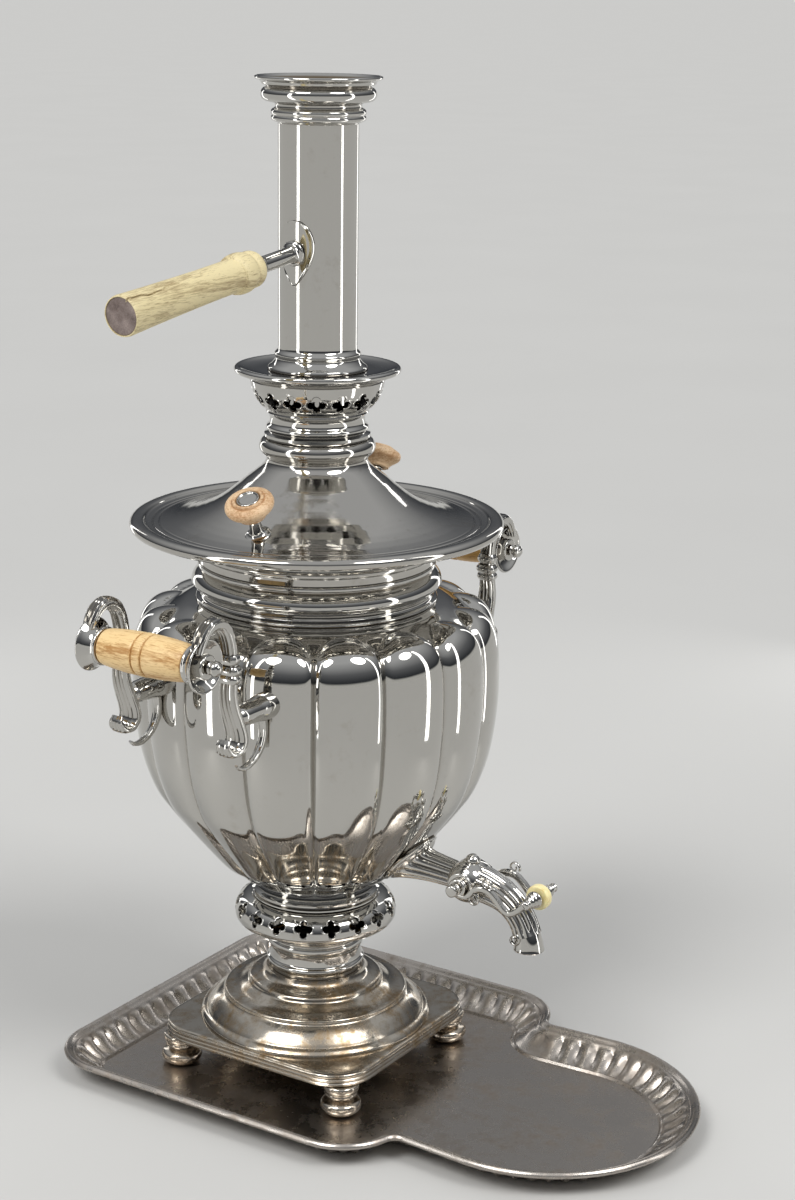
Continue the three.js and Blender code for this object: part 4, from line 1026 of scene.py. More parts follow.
knob_wood = turned_wood("turned_pear_wood", "#e2c29b", "#b98d62", 2.4 * mm, "Z", 0.5, 0.4)
for name, side in (("right", 0), ("left", math.pi)):
    lean = (
        Matrix.Rotation(knob_turn + side, 4, "Z")
        @ Matrix.Translation((knob_place, 0, lid_level + knob_seat_height))
        @ Matrix.Rotation(knob_lean, 4, "Y")
    )
    post = turned_part(post_line, post_softness, post_columns, 2)
    nut = turned_part(cap_line, post_softness, post_columns, 2)
    wood = rounded(
        scaled(knob_line, knob_radius, knob_height, knob_rise), knob_softness, looped=True)
    piece(
        f"lid_knob_post_and_nut_{name}", moved(joined(post, nut), lean), bright_nickel,
        "lid", "nickel_plate", f"lid_knob_post_{name}",
    )
    piece(
        f"turned_lid_knob_{name}", moved(turned(wood, knob_columns), lean), knob_wood,
        "lid", "pale_wood", f"lid_knob_{name}",
    )

# Crown
# The stand on which the teapot keeps warm: a flaring gallery, sawn with 16 quatrefoils that let
# hot air out, under a saucer. A tube inside carries the smoke past. A spigot drops it in the lid.
crown_radius = 60.2 * mm
crown_height = 52 * mm
crown_bore = 29.3 * mm
crown_tube = 31.2 * mm
crown_spigot = 8 * mm
crown_play = 0.5 * mm
crown_holes = 16
crown_hole_reach = 7 * mm
crown_hole_level = 0.585
crown_band_half = 8.3 * mm
crown_sheet = 1.3 * mm
crown_floor_gap = 1.5 * mm
crown_floor_inset = 1 * mm
# heights, as shares, between which the gallery's wall lies
gallery_shares = (0.4, 0.8)
crown_line = [
    (0.6, 0), (0.628, 0.005), (0.641, 0.03), (0.637, 0.065), (0.6, 0.085), (0.588, 0.1),
    (0.6, 0.12), (0.615, 0.14), (0.617, 0.16), (0.608, 0.185), (0.58, 0.205), (0.572, 0.23),
    (0.57, 0.27), (0.58, 0.32), (0.6, 0.355), (0.618, 0.372), (0.612, 0.392), (0.635, 0.42),
    (0.672, 0.455), (0.708, 0.504), (0.736, 0.56), (0.758, 0.615), (0.776, 0.67), (0.791, 0.73),
    (0.803, 0.78), (0.812, 0.815), (0.806, 0.83), (0.822, 0.85), (0.86, 0.872), (0.91, 0.888),
    (0.963, 0.908), (0.99, 0.925), (1, 0.95), (0.997, 0.975), (0.985, 0.992), (0.965, 1),
    (0.94, 0.996), (0.915, 0.985), (0.87, 0.972), (0.8, 0.96), (0.731, 0.954),
]


def crown_shape(level):
    """The pierced band, the skin round the outside and the bore, and the skin of the hollow."""
    outline = scaled(crown_line, crown_radius, crown_height, level)
    start, end = (
        next(i for i, (r, h) in enumerate(crown_line) if h > share) for share in gallery_shares
    )
    gallery = outline[start:end + 1]
    lining = inset_line(gallery, crown_sheet)
    lengths = line_lengths(gallery)
    middle = level_length(gallery, level + crown_hole_level * crown_height)
    outer_lower, outer_upper = past_band(gallery, lengths, middle, crown_band_half)
    inner_lower, inner_upper = past_band(lining, lengths, middle, crown_band_half)
    spigot = [
        Vector((crown_bore, outline[-1].y)), Vector((crown_bore, level - crown_spigot)),
        Vector((lid_bore - crown_play, level - crown_spigot)), Vector((lid_bore - crown_play, level)),
    ]
    hollow_floor = lining[0].y - crown_floor_gap
    ceiling = lining[-1].y + crown_floor_gap
    hollow = [
        Vector((inner_lower[0].x - crown_floor_inset, hollow_floor)),
        Vector((crown_tube, hollow_floor)), Vector((crown_tube, ceiling)),
        Vector((inner_upper[-1].x - crown_floor_inset, ceiling)),
    ]
    skins = (
        outer_upper + outline[end + 1:] + spigot + outline[:start] + outer_lower,
        inner_lower[::-1] + hollow + inner_upper[::-1],
    )
    return joined(
        *[turned(skin, crown_holes * cell_columns, looped=False) for skin in skins],
        pierced_band(gallery, lining, middle, crown_band_half, crown_hole_reach, crown_holes, 0),
    )


flue_nickel = nickel_plate(
    "sooted_inside_nickel", "#c3c1bc", "#75644a", 0.14, 0.03, 0.045, sooted=True)
crown_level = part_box("crown")[1].z - crown_height
piece("pierced_crown", crown_shape(crown_level), flue_nickel, "crown", "nickel_plate", "crown")

# Chimney pipe
# A length of drawn tube that stands on the crown and makes the fire draw. A turned foot and a
# flaring mouth with beads are soldered on. Inside, soot has blackened it.
pipe_radius = 28.5 * mm
pipe_bore = 26.9 * mm
spigot_radius = 28.7 * mm
spigot_depth = 25 * mm
chimney_foot_radius = 36 * mm
chimney_foot_height = 15 * mm
mouth_radius = 45.1 * mm
mouth_height = 32 * mm
mouth_bore_share = 0.66
pipe_softness = 0.6 * mm
pipe_columns = 128
chimney_foot_line = [
    (0.994, 0), (1, 0.03), (1, 0.093), (0.975, 0.17), (0.928, 0.24), (0.895, 0.33), (0.865, 0.42),
    (0.845, 0.5), (0.839, 0.58), (0.852, 0.64), (0.866, 0.72), (0.858, 0.8), (0.839, 0.853),
    (0.82, 0.9), (0.8, 0.96), (0.793, 1),
]
mouth_line = [
    (0.633, -0.02), (0.65, 0.0), (0.7, 0.02), (0.737, 0.055), (0.745, 0.1), (0.735, 0.135),
    (0.723, 0.156), (0.738, 0.178), (0.747, 0.21), (0.742, 0.25), (0.72, 0.29), (0.685, 0.31),
    (0.676, 0.34), (0.676, 0.39), (0.7, 0.42), (0.77, 0.43), (0.85, 0.46), (0.89, 0.515),
    (0.905, 0.59), (0.897, 0.67), (0.862, 0.735), (0.822, 0.755), (0.812, 0.78), (0.84, 0.797),
    (0.878, 0.806), (0.892, 0.83), (0.9, 0.86), (0.92, 0.89), (0.965, 0.91), (0.99, 0.925),
    (1, 0.95), (0.995, 0.98), (0.975, 0.996), (0.955, 0.995), (0.925, 0.97), (0.878, 0.935),
    (0.8, 0.83), (0.732, 0.719), (0.65, 0.69),
]
chimney_low, chimney_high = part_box("chimney_pipe")
chimney_level = chimney_low.z + spigot_depth
mouth_level = chimney_high.z - mouth_height
pipe_line = [
    Vector((pipe_bore, chimney_low.z)), Vector((spigot_radius, chimney_low.z)),
    Vector((spigot_radius, chimney_level)),
]
for shares, radius, height, level in (
    (chimney_foot_line, chimney_foot_radius, chimney_foot_height, chimney_level),
    (mouth_line, mouth_radius, mouth_height, mouth_level),
):
    pipe_line += rounded(scaled(shares, radius, height, level), pipe_softness)
pipe_line.append(Vector((pipe_bore, mouth_level + mouth_height * mouth_bore_share)))
piece(
    "chimney_pipe_and_mouth", turned(pipe_line, pipe_columns), flue_nickel,
    "chimney", "nickel_plate", "chimney_pipe",
)

# Chimney handle
# A shield is soldered to the pipe, and a plated rod runs out from it into a long grip turned from
# bone yellow wood, with a bead and a broad collar at its hot end. A drying crack runs along the
# grip from the other end, into which a dull metal disc is let.
handle_rise = 73 * mm
handle_droop = math.radians(6.8)
shield_half = 15 * mm
shield_top = 19.3 * mm
shield_low = -26.7 * mm
shield_gap = 0.3 * mm
shield_sheet = 1.4 * mm
shield_field_sunk = 0.3 * mm
# how fast the outline falls away to its point and to its round top
shield_point_fall = 1.7
shield_point_slope = 0.9
shield_top_fall = 2.2
# the raised line near the edge, and the edge itself: places as shares of the way to the edge
shield_line_height = 0.45 * mm
shield_line_place = 0.9
shield_line_width = 0.05
shield_edge_fall = 0.75 * mm
shield_edge_place = 0.95
shield_edge_width = 0.05
handle_level = chimney_level + chimney_foot_height + handle_rise


def shield_width(height):
    """Half the shield's width at a height over its boss: round above, pointed below."""
    if height < 0:
        return shield_half * (1 - (height / shield_low) ** shield_point_fall) ** shield_point_slope
    return shield_half * math.sqrt(max(0, 1 - (height / shield_top) ** shield_top_fall))


def shield_shape():
    """The shield bent round the pipe, a grid of points in front and one behind."""
    rows, across_steps = 40, 24
    points = []
    for lift in (1, 0):
        for i in range(rows + 1):
            share = i / rows
            height = shield_low + (shield_top - shield_low) * (1 - math.cos(math.pi * share)) / 2
            for j in range(across_steps + 1):
                x = math.sin((2 * j / across_steps - 1) * quarter)
                near_edge = max(abs(x), abs(2 * share - 1))
                off_line = (near_edge - shield_line_place) / shield_line_width
                raised = shield_line_height * math.exp(-off_line ** 2)
                sunk = shield_edge_fall * max(0, (near_edge - shield_edge_place) / shield_edge_width)
                stand = shield_sheet - shield_field_sunk + raised - sunk
                radius = pipe_radius + shield_gap + lift * stand
                angle = math.pi + x * shield_width(height) / pipe_radius
                points.append(Vector((
                    radius * math.cos(angle), radius * math.sin(angle), handle_level + height)))
    width = across_steps + 1
    base = (rows + 1) * width
    faces = []
    for i in range(rows):
        for j in range(across_steps):
            a = i * width + j
            faces.append((a, a + 1, a + width + 1, a + width))
            faces.append((base + a, base + a + width, base + a + width + 1, base + a + 1))
    rim = [(i * width, (i + 1) * width) for i in range(rows)]
    rim += [((i + 1) * width - 1, (i + 2) * width - 1) for i in range(rows)]
    rim += [(j, j + 1) for j in range(across_steps)]
    rim += [(rows * width + j, rows * width + j + 1) for j in range(across_steps)]
    faces += [(a, b, base + b, base + a) for a, b in rim]
    return points, faces


piece(
    "soldered_shield", shield_shape(), bright_nickel,
    "chimney", "nickel_plate", "chimney_escutcheon",
)

grip_start = 78 * mm
grip_length = 142.5 * mm
grip_radius = 13.8 * mm
grip_columns = 128
grip_step = 2 * mm
rod_softness = 0.6 * mm
rod_columns = 48
# where the crack runs: its side, the share of the grip where it starts, how it opens and wanders
crack_side = -0.094 * full_turn
crack_from = 0.62
crack_opening = 4
crack_depth = 1.8 * mm
crack_wander = ((0.09, 21), (0.03, 64))
skin_share = 0.9
# radius in mm and distance from the pipe's axis
rod_line = [
    (0, 29.5), (8.6, 29.5), (9, 30.4), (9, 31.4), (8.2, 32.2), (6.9, 32.6), (6.5, 33.4), (6.1, 34.6),
    (5.8, 36), (5.8, 62), (5.9, 66), (6.1, 70), (6.6, 71), (6.8, 72), (6.4, 73), (6.1, 73.6),
    (6.9, 74.6), (7.3, 75.8), (7.3, 77.9), (4.8, 77.9), (4.8, 216), (0, 216),
]
grip_line = [
    (0.42, 0.0), (0.82, 0.0), (0.885, 0.006), (0.925, 0.018), (0.93, 0.032), (0.91, 0.045),
    (0.87, 0.053), (0.865, 0.058), (0.91, 0.064), (0.98, 0.078), (1.02, 0.098), (1.03, 0.12),
    (1.015, 0.142), (0.975, 0.16), (0.925, 0.17), (0.87, 0.173), (0.855, 0.178), (0.845, 0.19),
    (0.84, 0.22), (0.85, 0.4), (0.89, 0.6), (0.94, 0.8), (0.985, 0.94), (1, 0.97), (1, 0.983),
    (0.985, 0.994), (0.955, 1.0), (0.915, 1.0), (0.905, 0.995), (0.905, 0.988), (0.42, 0.988),
]
handle_lay = (
    Matrix.Translation((0, 0, handle_level)) @ Matrix.Rotation(-quarter - handle_droop, 4, "Y")
)
rod = turned_part(rod_line, rod_softness, rod_columns)
piece(
    "handle_rod_and_ferrule", moved(rod, handle_lay), bright_nickel,
    "chimney", "nickel_plate", "chimney_handle_rod",
)


def cracked_grip():
    """The turned grip, with a crack that opens along its side toward the end."""
    line = stepped(scaled(grip_line, grip_radius, grip_length, grip_start), grip_step)
    points, faces = turned(line, grip_columns)
    for row, (r, h) in enumerate(line):
        share = (h - grip_start) / grip_length
        if share < crack_from or r < grip_radius * skin_share:
            continue
        opening = min(1, crack_opening * (share - crack_from))
        centre = sum((width * math.sin(share * rate) for width, rate in crack_wander), crack_side)
        i = row * grip_columns + round(centre / full_turn * grip_columns) % grip_columns
        reach = r - crack_depth * opening
        points[i] = Vector((reach * math.cos(centre), reach * math.sin(centre), h))
    return points, faces


grip_wood = turned_wood("oiled_birch_grip", "#e2d3a5", "#a5916a", 1.1 * mm, "X", 14, 0.36)
piece(
    "turned_chimney_grip", moved(cracked_grip(), handle_lay), grip_wood,
    "chimney", "pale_wood", "chimney_handle_grip",
)


def dull_disc():
    """Greyed brown metal, matt, cloudy and finely pitted."""
    pit = 0.7 * mm
    pit_depth = 0.1 * mm
    cloud = 7 * mm
    material, tree, place = new_finish("greyed_metal_disc")
    pits = add(tree, "TexNoise", {
        "Vector": place, "Scale": 1 / pit, "Detail": 4.0, "Roughness": 0.7,
    }).outputs["Fac"]
    clouds = add(tree, "TexNoise", {"Vector": place, "Scale": 1 / cloud, "Detail": 3.0}).outputs["Fac"]
    both = add(tree, "Math", {
        "Value": pits, "Value_001": clouds,
    }, operation="MULTIPLY").outputs["Value"]
    greyed = add(tree, "ValToRGB", {"Fac": both}, [(0.12, "#5f514c"), (0.38, "#9a8c86")])
    skin = add(tree, "Bump", {"Height": pits, "Strength": 0.4, "Distance": pit_depth}).outputs["Normal"]
    matt = add(tree, "MapRange", {"Value": pits, "To Min": 0.45, "To Max": 0.75}).outputs["Result"]
    shader = add(tree, "BsdfPrincipled", {
        "Base Color": greyed.outputs["Color"], "Metallic": 0.35, "Roughness": matt, "Normal": skin,
    })
    add(tree, "OutputMaterial", {"Surface": shader.outputs["BSDF"]})
    return material


disc_line = [(0, 219), (12, 219), (12.4, 219.4), (12.4, 219.9), (12, 220.2), (0, 220.3)]
disc_softness = 0.2 * mm
disc_columns = 64
disc = turned_part(disc_line, disc_softness, disc_columns)
piece(
    "let_in_end_disc", moved(disc, handle_lay), dull_disc(),
    "chimney", "dull_disc", "chimney_handle_disc",
)

# Side handles
# A barrel grip of pale wood with two grooves turns on a tie rod with ball nuts, between two cast
# brackets. Each arches over the rod as a fluted strap, is wrapped by three rings and rolls up
# below. A thin tail hangs behind it, and a smooth stub is soldered to the body.
side_reach = 197 * mm
side_low, side_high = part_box("side_grip_right")
side_level = (side_low.z + side_high.z) / 2
side_grip_length = 72 * mm
side_grip_radius = 15 * mm
side_grip_softness = 0.5 * mm
side_grip_columns = 80
cup_start = 36.3 * mm
bracket_place = 46.1 * mm
cast_softness = 0.5 * mm
cast_columns = 40
side_grip_line = [
    (0.24, 0), (0.76, 0), (0.82, 0.012), (0.86, 0.05), (0.915, 0.15), (0.965, 0.28), (0.985, 0.4),
    (0.985, 0.432), (0.9, 0.438), (0.885, 0.444), (0.9, 0.45), (0.985, 0.456), (1, 0.475), (1, 0.525),
    (0.985, 0.544), (0.9, 0.55), (0.885, 0.556), (0.9, 0.562), (0.985, 0.568), (0.985, 0.6),
    (0.965, 0.72), (0.915, 0.85), (0.86, 0.95), (0.82, 0.988), (0.76, 1), (0.24, 1),
]
cup_line = [
    (3.4, 0), (12.4, 0), (13.2, 0.4), (13.5, 1.2), (13.2, 2), (13.3, 3.2), (13.9, 5), (15, 7),
    (16.6, 9), (18.2, 10.4), (18.8, 11.2), (18.6, 12), (17.8, 12.2), (16.8, 11.6), (15, 9.8),
    (13, 8.2), (10, 7), (7.4, 6.4), (3.4, 6.2),
]
nut_start = 50.9
nut_line = [
    (3, 0), (3.1, 0.6), (4.4, 0.9), (4.6, 1.6), (3.6, 2.1), (3.9, 2.8), (5.1, 4), (5.5, 5.4),
    (5.2, 6.9), (4.2, 8.1), (3.1, 8.6), (2.7, 9.2), (1.6, 9.8), (0, 10),
]
# the way of the strap and of the tail, in mm: out from the grip's axis, up from it, half the
# thickness and half the width
strap_rows = [
    (7, 10, 2.4, 4.4), (3.5, 17.5, 3.4, 5.2), (-1.5, 23.5, 4, 5.5), (-8.5, 26.4, 4.3, 5.7),
    (-16.5, 25.2, 4.5, 5.8), (-23, 19.8, 4.6, 5.8), (-26.6, 11.5, 4.5, 5.8), (-28.2, 2, 4.3, 5.8),
    (-28.8, -8, 4.2, 5.9), (-28, -17, 4, 6.2), (-27, -25.5, 3.9, 6.8), (-28.2, -35, 3.8, 7.6),
    (-31.8, -45, 3.7, 8.4), (-35.2, -54, 3.6, 8.8), (-35.8, -61.5, 3.5, 8.8), (-31.5, -67, 3.3, 8.4),
    (-24.5, -67, 2.9, 7.4), (-20.8, -62, 2.3, 6), (-22.8, -57.4, 1.5, 4.6),
]
tail_rows = [
    (-61.5, -46, 2.4, 4), (-65, -54, 3, 3.6), (-66, -63, 3, 3.2), (-63, -72.5, 2.8, 2.9),
    (-56, -79.5, 2.5, 2.6), (-47, -83, 2.1, 2.3), (-39.5, -82.4, 1.5, 1.9), (-35.5, -79.4, 0.8, 1.4),
]
# flutes and their depth as a share of the thickness
strap_flutes = (5, 0.5)
tail_flutes = (2, 0.22)
strap_steps = 6
# places of the wrapped rings, in rows down the strap, and how far they stand out
strap_rings = [(7.35, 1.34), (8.1, 1.44), (8.85, 1.34)]
ring_swell = (0.8, 0.95, 1, 0.95, 0.8)
eye_line = [
    (3.3, -4.4), (8.2, -4.4), (8.8, -3.6), (8.8, 3.6), (8.2, 4.4), (6.6, 4.5), (5, 4.6), (3.3, 4.6),
    (3.3, -4.4),
]
stub_place = (-47.5, -45)
stub_line = [
    (0, -27), (9.6, -27), (9.6, -15.5), (9.2, -13), (8.5, -9), (8.2, -3), (7.9, 3), (7.3, 8),
    (6.2, 11.4), (4, 13.4), (0, 14),
]


def swept(centres, across, section):
    """A skin round a line that stays square to `across`. section(i) gives pairs of lengths across
    the line and up from it."""
    rings = []
    for i, at in enumerate(centres):
        along = centres[min(i + 1, len(centres) - 1)] - centres[max(i - 1, 0)]
        rise = along.cross(across).normalized()
        rings.append([at + across * a + rise * b for a, b in section(i)])
    return lofted(rings)


def fluted_section(half_width, half_height, flutes, depth, count=48):
    """An oval, squared a little, with flutes along its two broad faces."""
    side_roundness, face_roundness = 0.8, 0.6
    section = []
    for j in range(count):
        angle = full_turn * j / count
        c, s = math.cos(angle), math.sin(angle)
        x = math.copysign(abs(c) ** side_roundness, c)
        y = math.copysign(abs(s) ** face_roundness, s)
        ripple = 1 - depth * (1 - math.cos(math.pi * flutes * (x + 1))) / 2
        section.append((x * half_width, y * half_height * ripple))
    return section


def laid_part(line, turn_to, place):
    """A small turned part, laid along another axis at a place."""
    shape = turned_part(line, cast_softness, cast_columns)
    return moved(shape, Matrix.Translation(place) @ turn_to)


along_y = Matrix.Rotation(-quarter, 4, "X")
along_x = Matrix.Rotation(quarter, 4, "Y")


def bracket_shape():
    """One bracket, drawn for the handle at +X and the end at +Y."""
    across = Vector((0, 1, 0))

    def strip(table, flutes, depth):
        rows = through([Vector(row) * mm for row in table], strap_steps)
        centres = [Vector((side_reach + row[0], bracket_place, side_level + row[1])) for row in rows]
        shape = swept(centres, across, lambda i: fluted_section(rows[i][3], rows[i][2], flutes, depth))
        return shape, rows, centres

    def ring_round(i, size):
        """A ring wrapped round the strap at one of its steps, thickest in its middle."""
        half_thick, half_wide = rows[i][2:]
        reach = len(ring_swell) // 2
        return swept(centres[i - reach:i + reach + 1], across, lambda k: fluted_section(
            half_wide * (size * ring_swell[k]), half_thick * (size * ring_swell[k]), 0, 0))

    strap, rows, centres = strip(strap_rows, *strap_flutes)
    tail = strip(tail_rows, *tail_flutes)[0]
    eye = laid_part(eye_line, along_y, (side_reach, bracket_place, side_level))
    rings = [ring_round(round(place * strap_steps), size) for place, size in strap_rings]
    out, up = stub_place
    stub = laid_part(stub_line, along_x, (side_reach + out * mm, bracket_place, side_level + up * mm))
    return joined(strap, tail, eye, stub, *rings)


handle_axis = Matrix.Translation((side_reach, 0, side_level))
grip_edge = scaled(side_grip_line, side_grip_radius, side_grip_length, -side_grip_length / 2)
grip_edge = rounded(grip_edge, side_grip_softness, looped=True)
grip_shape = moved(turned(grip_edge, side_grip_columns), handle_axis @ along_y)
tie_line = [(0, 0), (3, 0)] + [(r, nut_start + h) for r, h in nut_line]
half_rod = laid_part(tie_line, along_y, (side_reach, 0, side_level))
cup = laid_part(cup_line + cup_line[:1], along_y, (side_reach, cup_start, side_level))
bracket = bracket_shape()
mirror_y = Matrix.Diagonal((1, -1, 1, 1))
mirror_x = Matrix.Diagonal((-1, 1, 1, 1))
no_mirror = Matrix.Identity(4)
for name, side, finish, pale, dark in (
    ("right", no_mirror, "amber_beech_grip", "#d6a85f", "#8a5c2a"),
    ("left", mirror_x, "pale_beech_grip", "#e6c68f", "#b08148"),
):
    wood = turned_wood(finish, pale, dark, 1.2 * mm, "Y", 12, 0.34)
    piece(
        f"turned_side_grip_{name}", moved(grip_shape, side), wood,
        "samovar", "pale_wood", f"side_grip_{name}",
    )
    piece(
        f"tie_rod_and_nuts_{name}", joined(moved(half_rod, side), moved(half_rod, side @ mirror_y)),
        bright_nickel, "samovar", "nickel_plate", f"side_tie_rod_{name}",
    )
    for word, end in (("back", no_mirror), ("front", mirror_y)):
        piece(
            f"grip_cup_{name}_{word}", moved(cup, side @ end), bright_nickel,
            "samovar", "nickel_plate", f"side_cup_{name}_{word}",
        )
        piece(
            f"scroll_bracket_{name}_{word}", moved(bracket, side @ end), bright_nickel,
            "samovar", "nickel_plate", f"side_bracket_{name}_{word}",
        )

# Tap
# One brass casting, chased and plated: a fluted horn soldered to the body, a round chamber across
# it for the key with a small crest on top, and a fluted spout that turns down over a smooth nozzle
# with a curl on each side.
tap_reach = 137 * mm
tap_height = 174.5 * mm
horn_root = Vector((0, -72 * mm, 180.5 * mm))
barrel = Vector((0, -tap_reach, tap_height))
across_tap = Vector((1, 0, 0))
# share of the way from the root to the barrel, radius, share of standing free of the wall, lift
horn_rows = [
    (0.1, 19.5, 0, -1.5), (0.1, 20, 0, 0.6), (0.1, 19.6, 0, 2), (0.12, 18.4, 0, 2.6),
    (0.16, 17.4, 0.05, 2.4), (0.2, 17.2, 0.1, 3.4), (0.26, 15.4, 0.3, 5), (0.36, 13.4, 0.62, 6),
    (0.46, 12, 0.85, 6), (0.56, 11.1, 1, 0), (0.68, 10.5, 1, 0), (0.8, 10.1, 1, 0), (1, 9.9, 1, 0),
]
horn_flutes = 12
horn_flute_depth = 0.16
horn_row_steps = 3
# steps from the root at which the flutes start and over which they deepen
horn_flute_from = 12
horn_flute_over = 9
columns_per_ridge = 8
ridge_sharpness = 0.8
chamber_line = [
    (0, -16), (9.4, -16), (10, -15.6), (10, -14.6), (9.4, -14), (11, -13.2), (13, -11.4),
    (14.6, -8.6), (15.5, -5), (15.8, -1.6), (15.3, -0.6), (15.3, 0.6), (15.8, 1.6), (15.5, 5),
    (14.6, 8.6), (13, 11.4), (11, 13.2), (9.4, 14), (10, 14.6), (10, 15.6), (9.4, 16), (0, 16),
]
# reach, drop and radius in mm along the spout
spout_rows = [
    (4, 0, 13.6), (12, 1, 13.3), (20, 3, 12.6), (28, 6, 11.8), (35, 10.5, 11), (41, 16.5, 10.5),
    (45.5, 23.5, 10.3), (48.5, 31, 10.6),
]
nozzle_rows = [
    (44, 21, 8.6), (46.5, 26, 9), (48.2, 30.5, 9.6), (49.3, 35, 10.2), (49.9, 38.5, 10.7),
    (50, 40.4, 11), (50, 41.4, 11.4), (50, 42, 11.2), (50, 42, 8.4), (50, 38, 7.4), (49.2, 30, 6.4),
]
spout_steps = 5
spout_flutes = 12
spout_flute_depth = 0.17
spout_flute_fade = 4
# how far the nozzle leans out at its root, and the drop in mm from which it is upright
nozzle_lean = math.radians(30)
nozzle_upright_drop = 40
nozzle_lean_over = 19


def ridges(angle, count, depth):
    """Round ridges with sharp valleys between, as a share of the radius."""
    return 1 - depth * (1 - abs(math.cos(count / 2 * angle)) ** ridge_sharpness)


def wall_at(height, x):
    """How far the body's crests reach toward the tap at a height."""
    rows = [Vector(row) * mm for row in body_rows]
    i = next(k for k in range(1, len(rows)) if rows[k].x >= height)
    share = (height - rows[i - 1].x) / (rows[i].x - rows[i - 1].x)
    radius = rows[i - 1].y + share * (rows[i].y - rows[i - 1].y)
    return math.sqrt(radius ** 2 - x ** 2)


def horn_shape():
    """The fluted horn, whose root is laid against the body's crests."""
    columns = horn_flutes * columns_per_ridge
    heading = (barrel - horn_root).normalized()
    rise = heading.cross(across_tap).normalized()
    rise = -rise if rise.z < 0 else rise
    rows = through([Vector(row) for row in horn_rows], horn_row_steps)
    rings = []
    for i, (share, radius, free, lift) in enumerate(rows):
        centre = horn_root.lerp(barrel, share)
        depth = horn_flute_depth * min(1, max(0, (i - horn_flute_from) / horn_flute_over))
        ring = []
        for j in range(columns):
            angle = full_turn * j / columns
            reach = radius * mm * ridges(angle, horn_flutes, depth)
            point = centre + across_tap * math.cos(angle) * reach + rise * math.sin(angle) * reach
            on_wall = -wall_at(point.z, point.x) - lift * mm
            point.y = on_wall + min(0, point.y - on_wall) * min(1, max(0, free))
            ring.append(point)
        rings.append(ring)
    return lofted(rings)


def spout_shape():
    """The spout, swept down along its line. Its flutes rise and fade at its ends."""
    columns = spout_flutes * columns_per_ridge
    line = through([Vector(row) * mm for row in spout_rows], spout_steps)
    centres = [Vector((0, -tap_reach - out, tap_height - down)) for out, down, radius in line]

    def section(i):
        depth = spout_flute_depth * min(1, min(i, len(line) - 1 - i) / spout_flute_fade)
        points = []
        for j in range(columns):
            angle = full_turn * j / columns
            radius = line[i][2] * ridges(angle, spout_flutes, depth)
            points.append((radius * math.cos(angle), radius * math.sin(angle)))
        return points

    return swept(centres, across_tap, section)


def nozzle_shape():
    """The smooth nozzle with its hollow mouth. Its rings turn back inside at the lip."""
    columns = spout_flutes * columns_per_ridge
    rings = []
    for out, down, radius in nozzle_rows:
        lean = max(0, (nozzle_upright_drop - down) / nozzle_lean_over) * nozzle_lean
        along = Vector((0, -math.sin(lean), -math.cos(lean)))
        rise = along.cross(across_tap).normalized()
        centre = Vector((0, -tap_reach - out * mm, tap_height - down * mm))
        rings.append([
            centre + (across_tap * math.cos(a) + rise * math.sin(a)) * radius * mm
            for a in (full_turn * j / columns for j in range(columns))
        ])
    return lofted(rings)


def curl(x, out, up, radius, start, turns, thick, facing):
    """A volute in the upright plane along the tap: an oval wire that thins as it winds in. Apart
    from x, its place from the key's axis and its measures are in mm."""
    steps, sides = 36, 12
    winding, thinning, wide = 0.8, 0.4, 1.5
    centre = Vector((x, -tap_reach - out * mm, tap_height + up * mm))
    half_wire = thick * mm
    line = []
    for i in range(steps + 1):
        share = i / steps
        angle = start + facing * turns * full_turn * share
        reach = radius * mm * (1 - winding * share)
        line.append(centre + Vector((0, math.cos(angle), math.sin(angle))) * reach)

    def section(i):
        angles = [full_turn * j / sides for j in range(sides)]
        thin = 1 - thinning * i / steps
        return [
            (math.cos(a) * half_wire * thin * wide, math.sin(a) * half_wire * thin) for a in angles
        ]

    return swept(line, across_tap, section)


crest_line = [
    (0, -6), (6.4, -6), (7.2, -3), (7.4, 0), (6.8, 1.4), (5.2, 2), (5.6, 3), (5, 5), (3.4, 6.6),
    (1.6, 7.4), (0, 7.6),
]
# out and up, radius, where the curl starts, its turns, half its wire and the way it winds
nozzle_curl = (43, -33, 4.6, math.radians(120), 1.3, 1.2, 1)
nozzle_curl_side = 9.6 * mm
crest_lean = Matrix.Rotation(math.radians(14), 4, "X")
crest_place = barrel + Vector((0, -1, 13)) * mm
crest = laid_part(crest_line, crest_lean, crest_place)
chamber = laid_part(chamber_line, along_x, barrel)
nozzle_curls = [curl(x, *nozzle_curl) for x in (-nozzle_curl_side, nozzle_curl_side)]
tap_shape = joined(horn_shape(), chamber, crest, spout_shape(), nozzle_shape(), *nozzle_curls)
piece("cast_tap", tap_shape, bright_nickel, "samovar", "nickel_plate", "tap_body")

# Tap key and lever
# A tapered plug ground into the chamber, held by a ball nut. A stirrup fits on its two ends: two
# cast arms that bend like an S, each with two curls, and a crossbar of turned beads between them.
# A bone ring round the crossbar stays cool in the fingers.
lever_reach = 57 * mm
lever_half = 20.5 * mm
hub_place = 18.1 * mm
arm_half_width = 2.4 * mm
arm_flutes = (2, 0.3)
arm_steps = 8
arm_columns = 32
key_line = [
    (0, -28.6), (3.4, -28.6), (4.3, -28.2), (4.6, -27.4), (4.6, -26.6), (4.1, -26), (3.9, -24.6),
    (4.1, -23.4), (4.6, -22.8), (4.6, -21.6), (4, -21), (3.5, -20.8), (3.5, -15.4), (7.9, -15.4),
    (7.2, 15.2), (3.5, 15.2), (3.5, 20.2), (0, 20.2),
]
nut_end = [
    (0, 20.4), (3.4, 20.4), (3.6, 21), (3.2, 21.6), (4, 22.8), (4.2, 24.4), (3.7, 26.2), (2.6, 27.2),
    (1.2, 27.7), (0, 27.8),
]
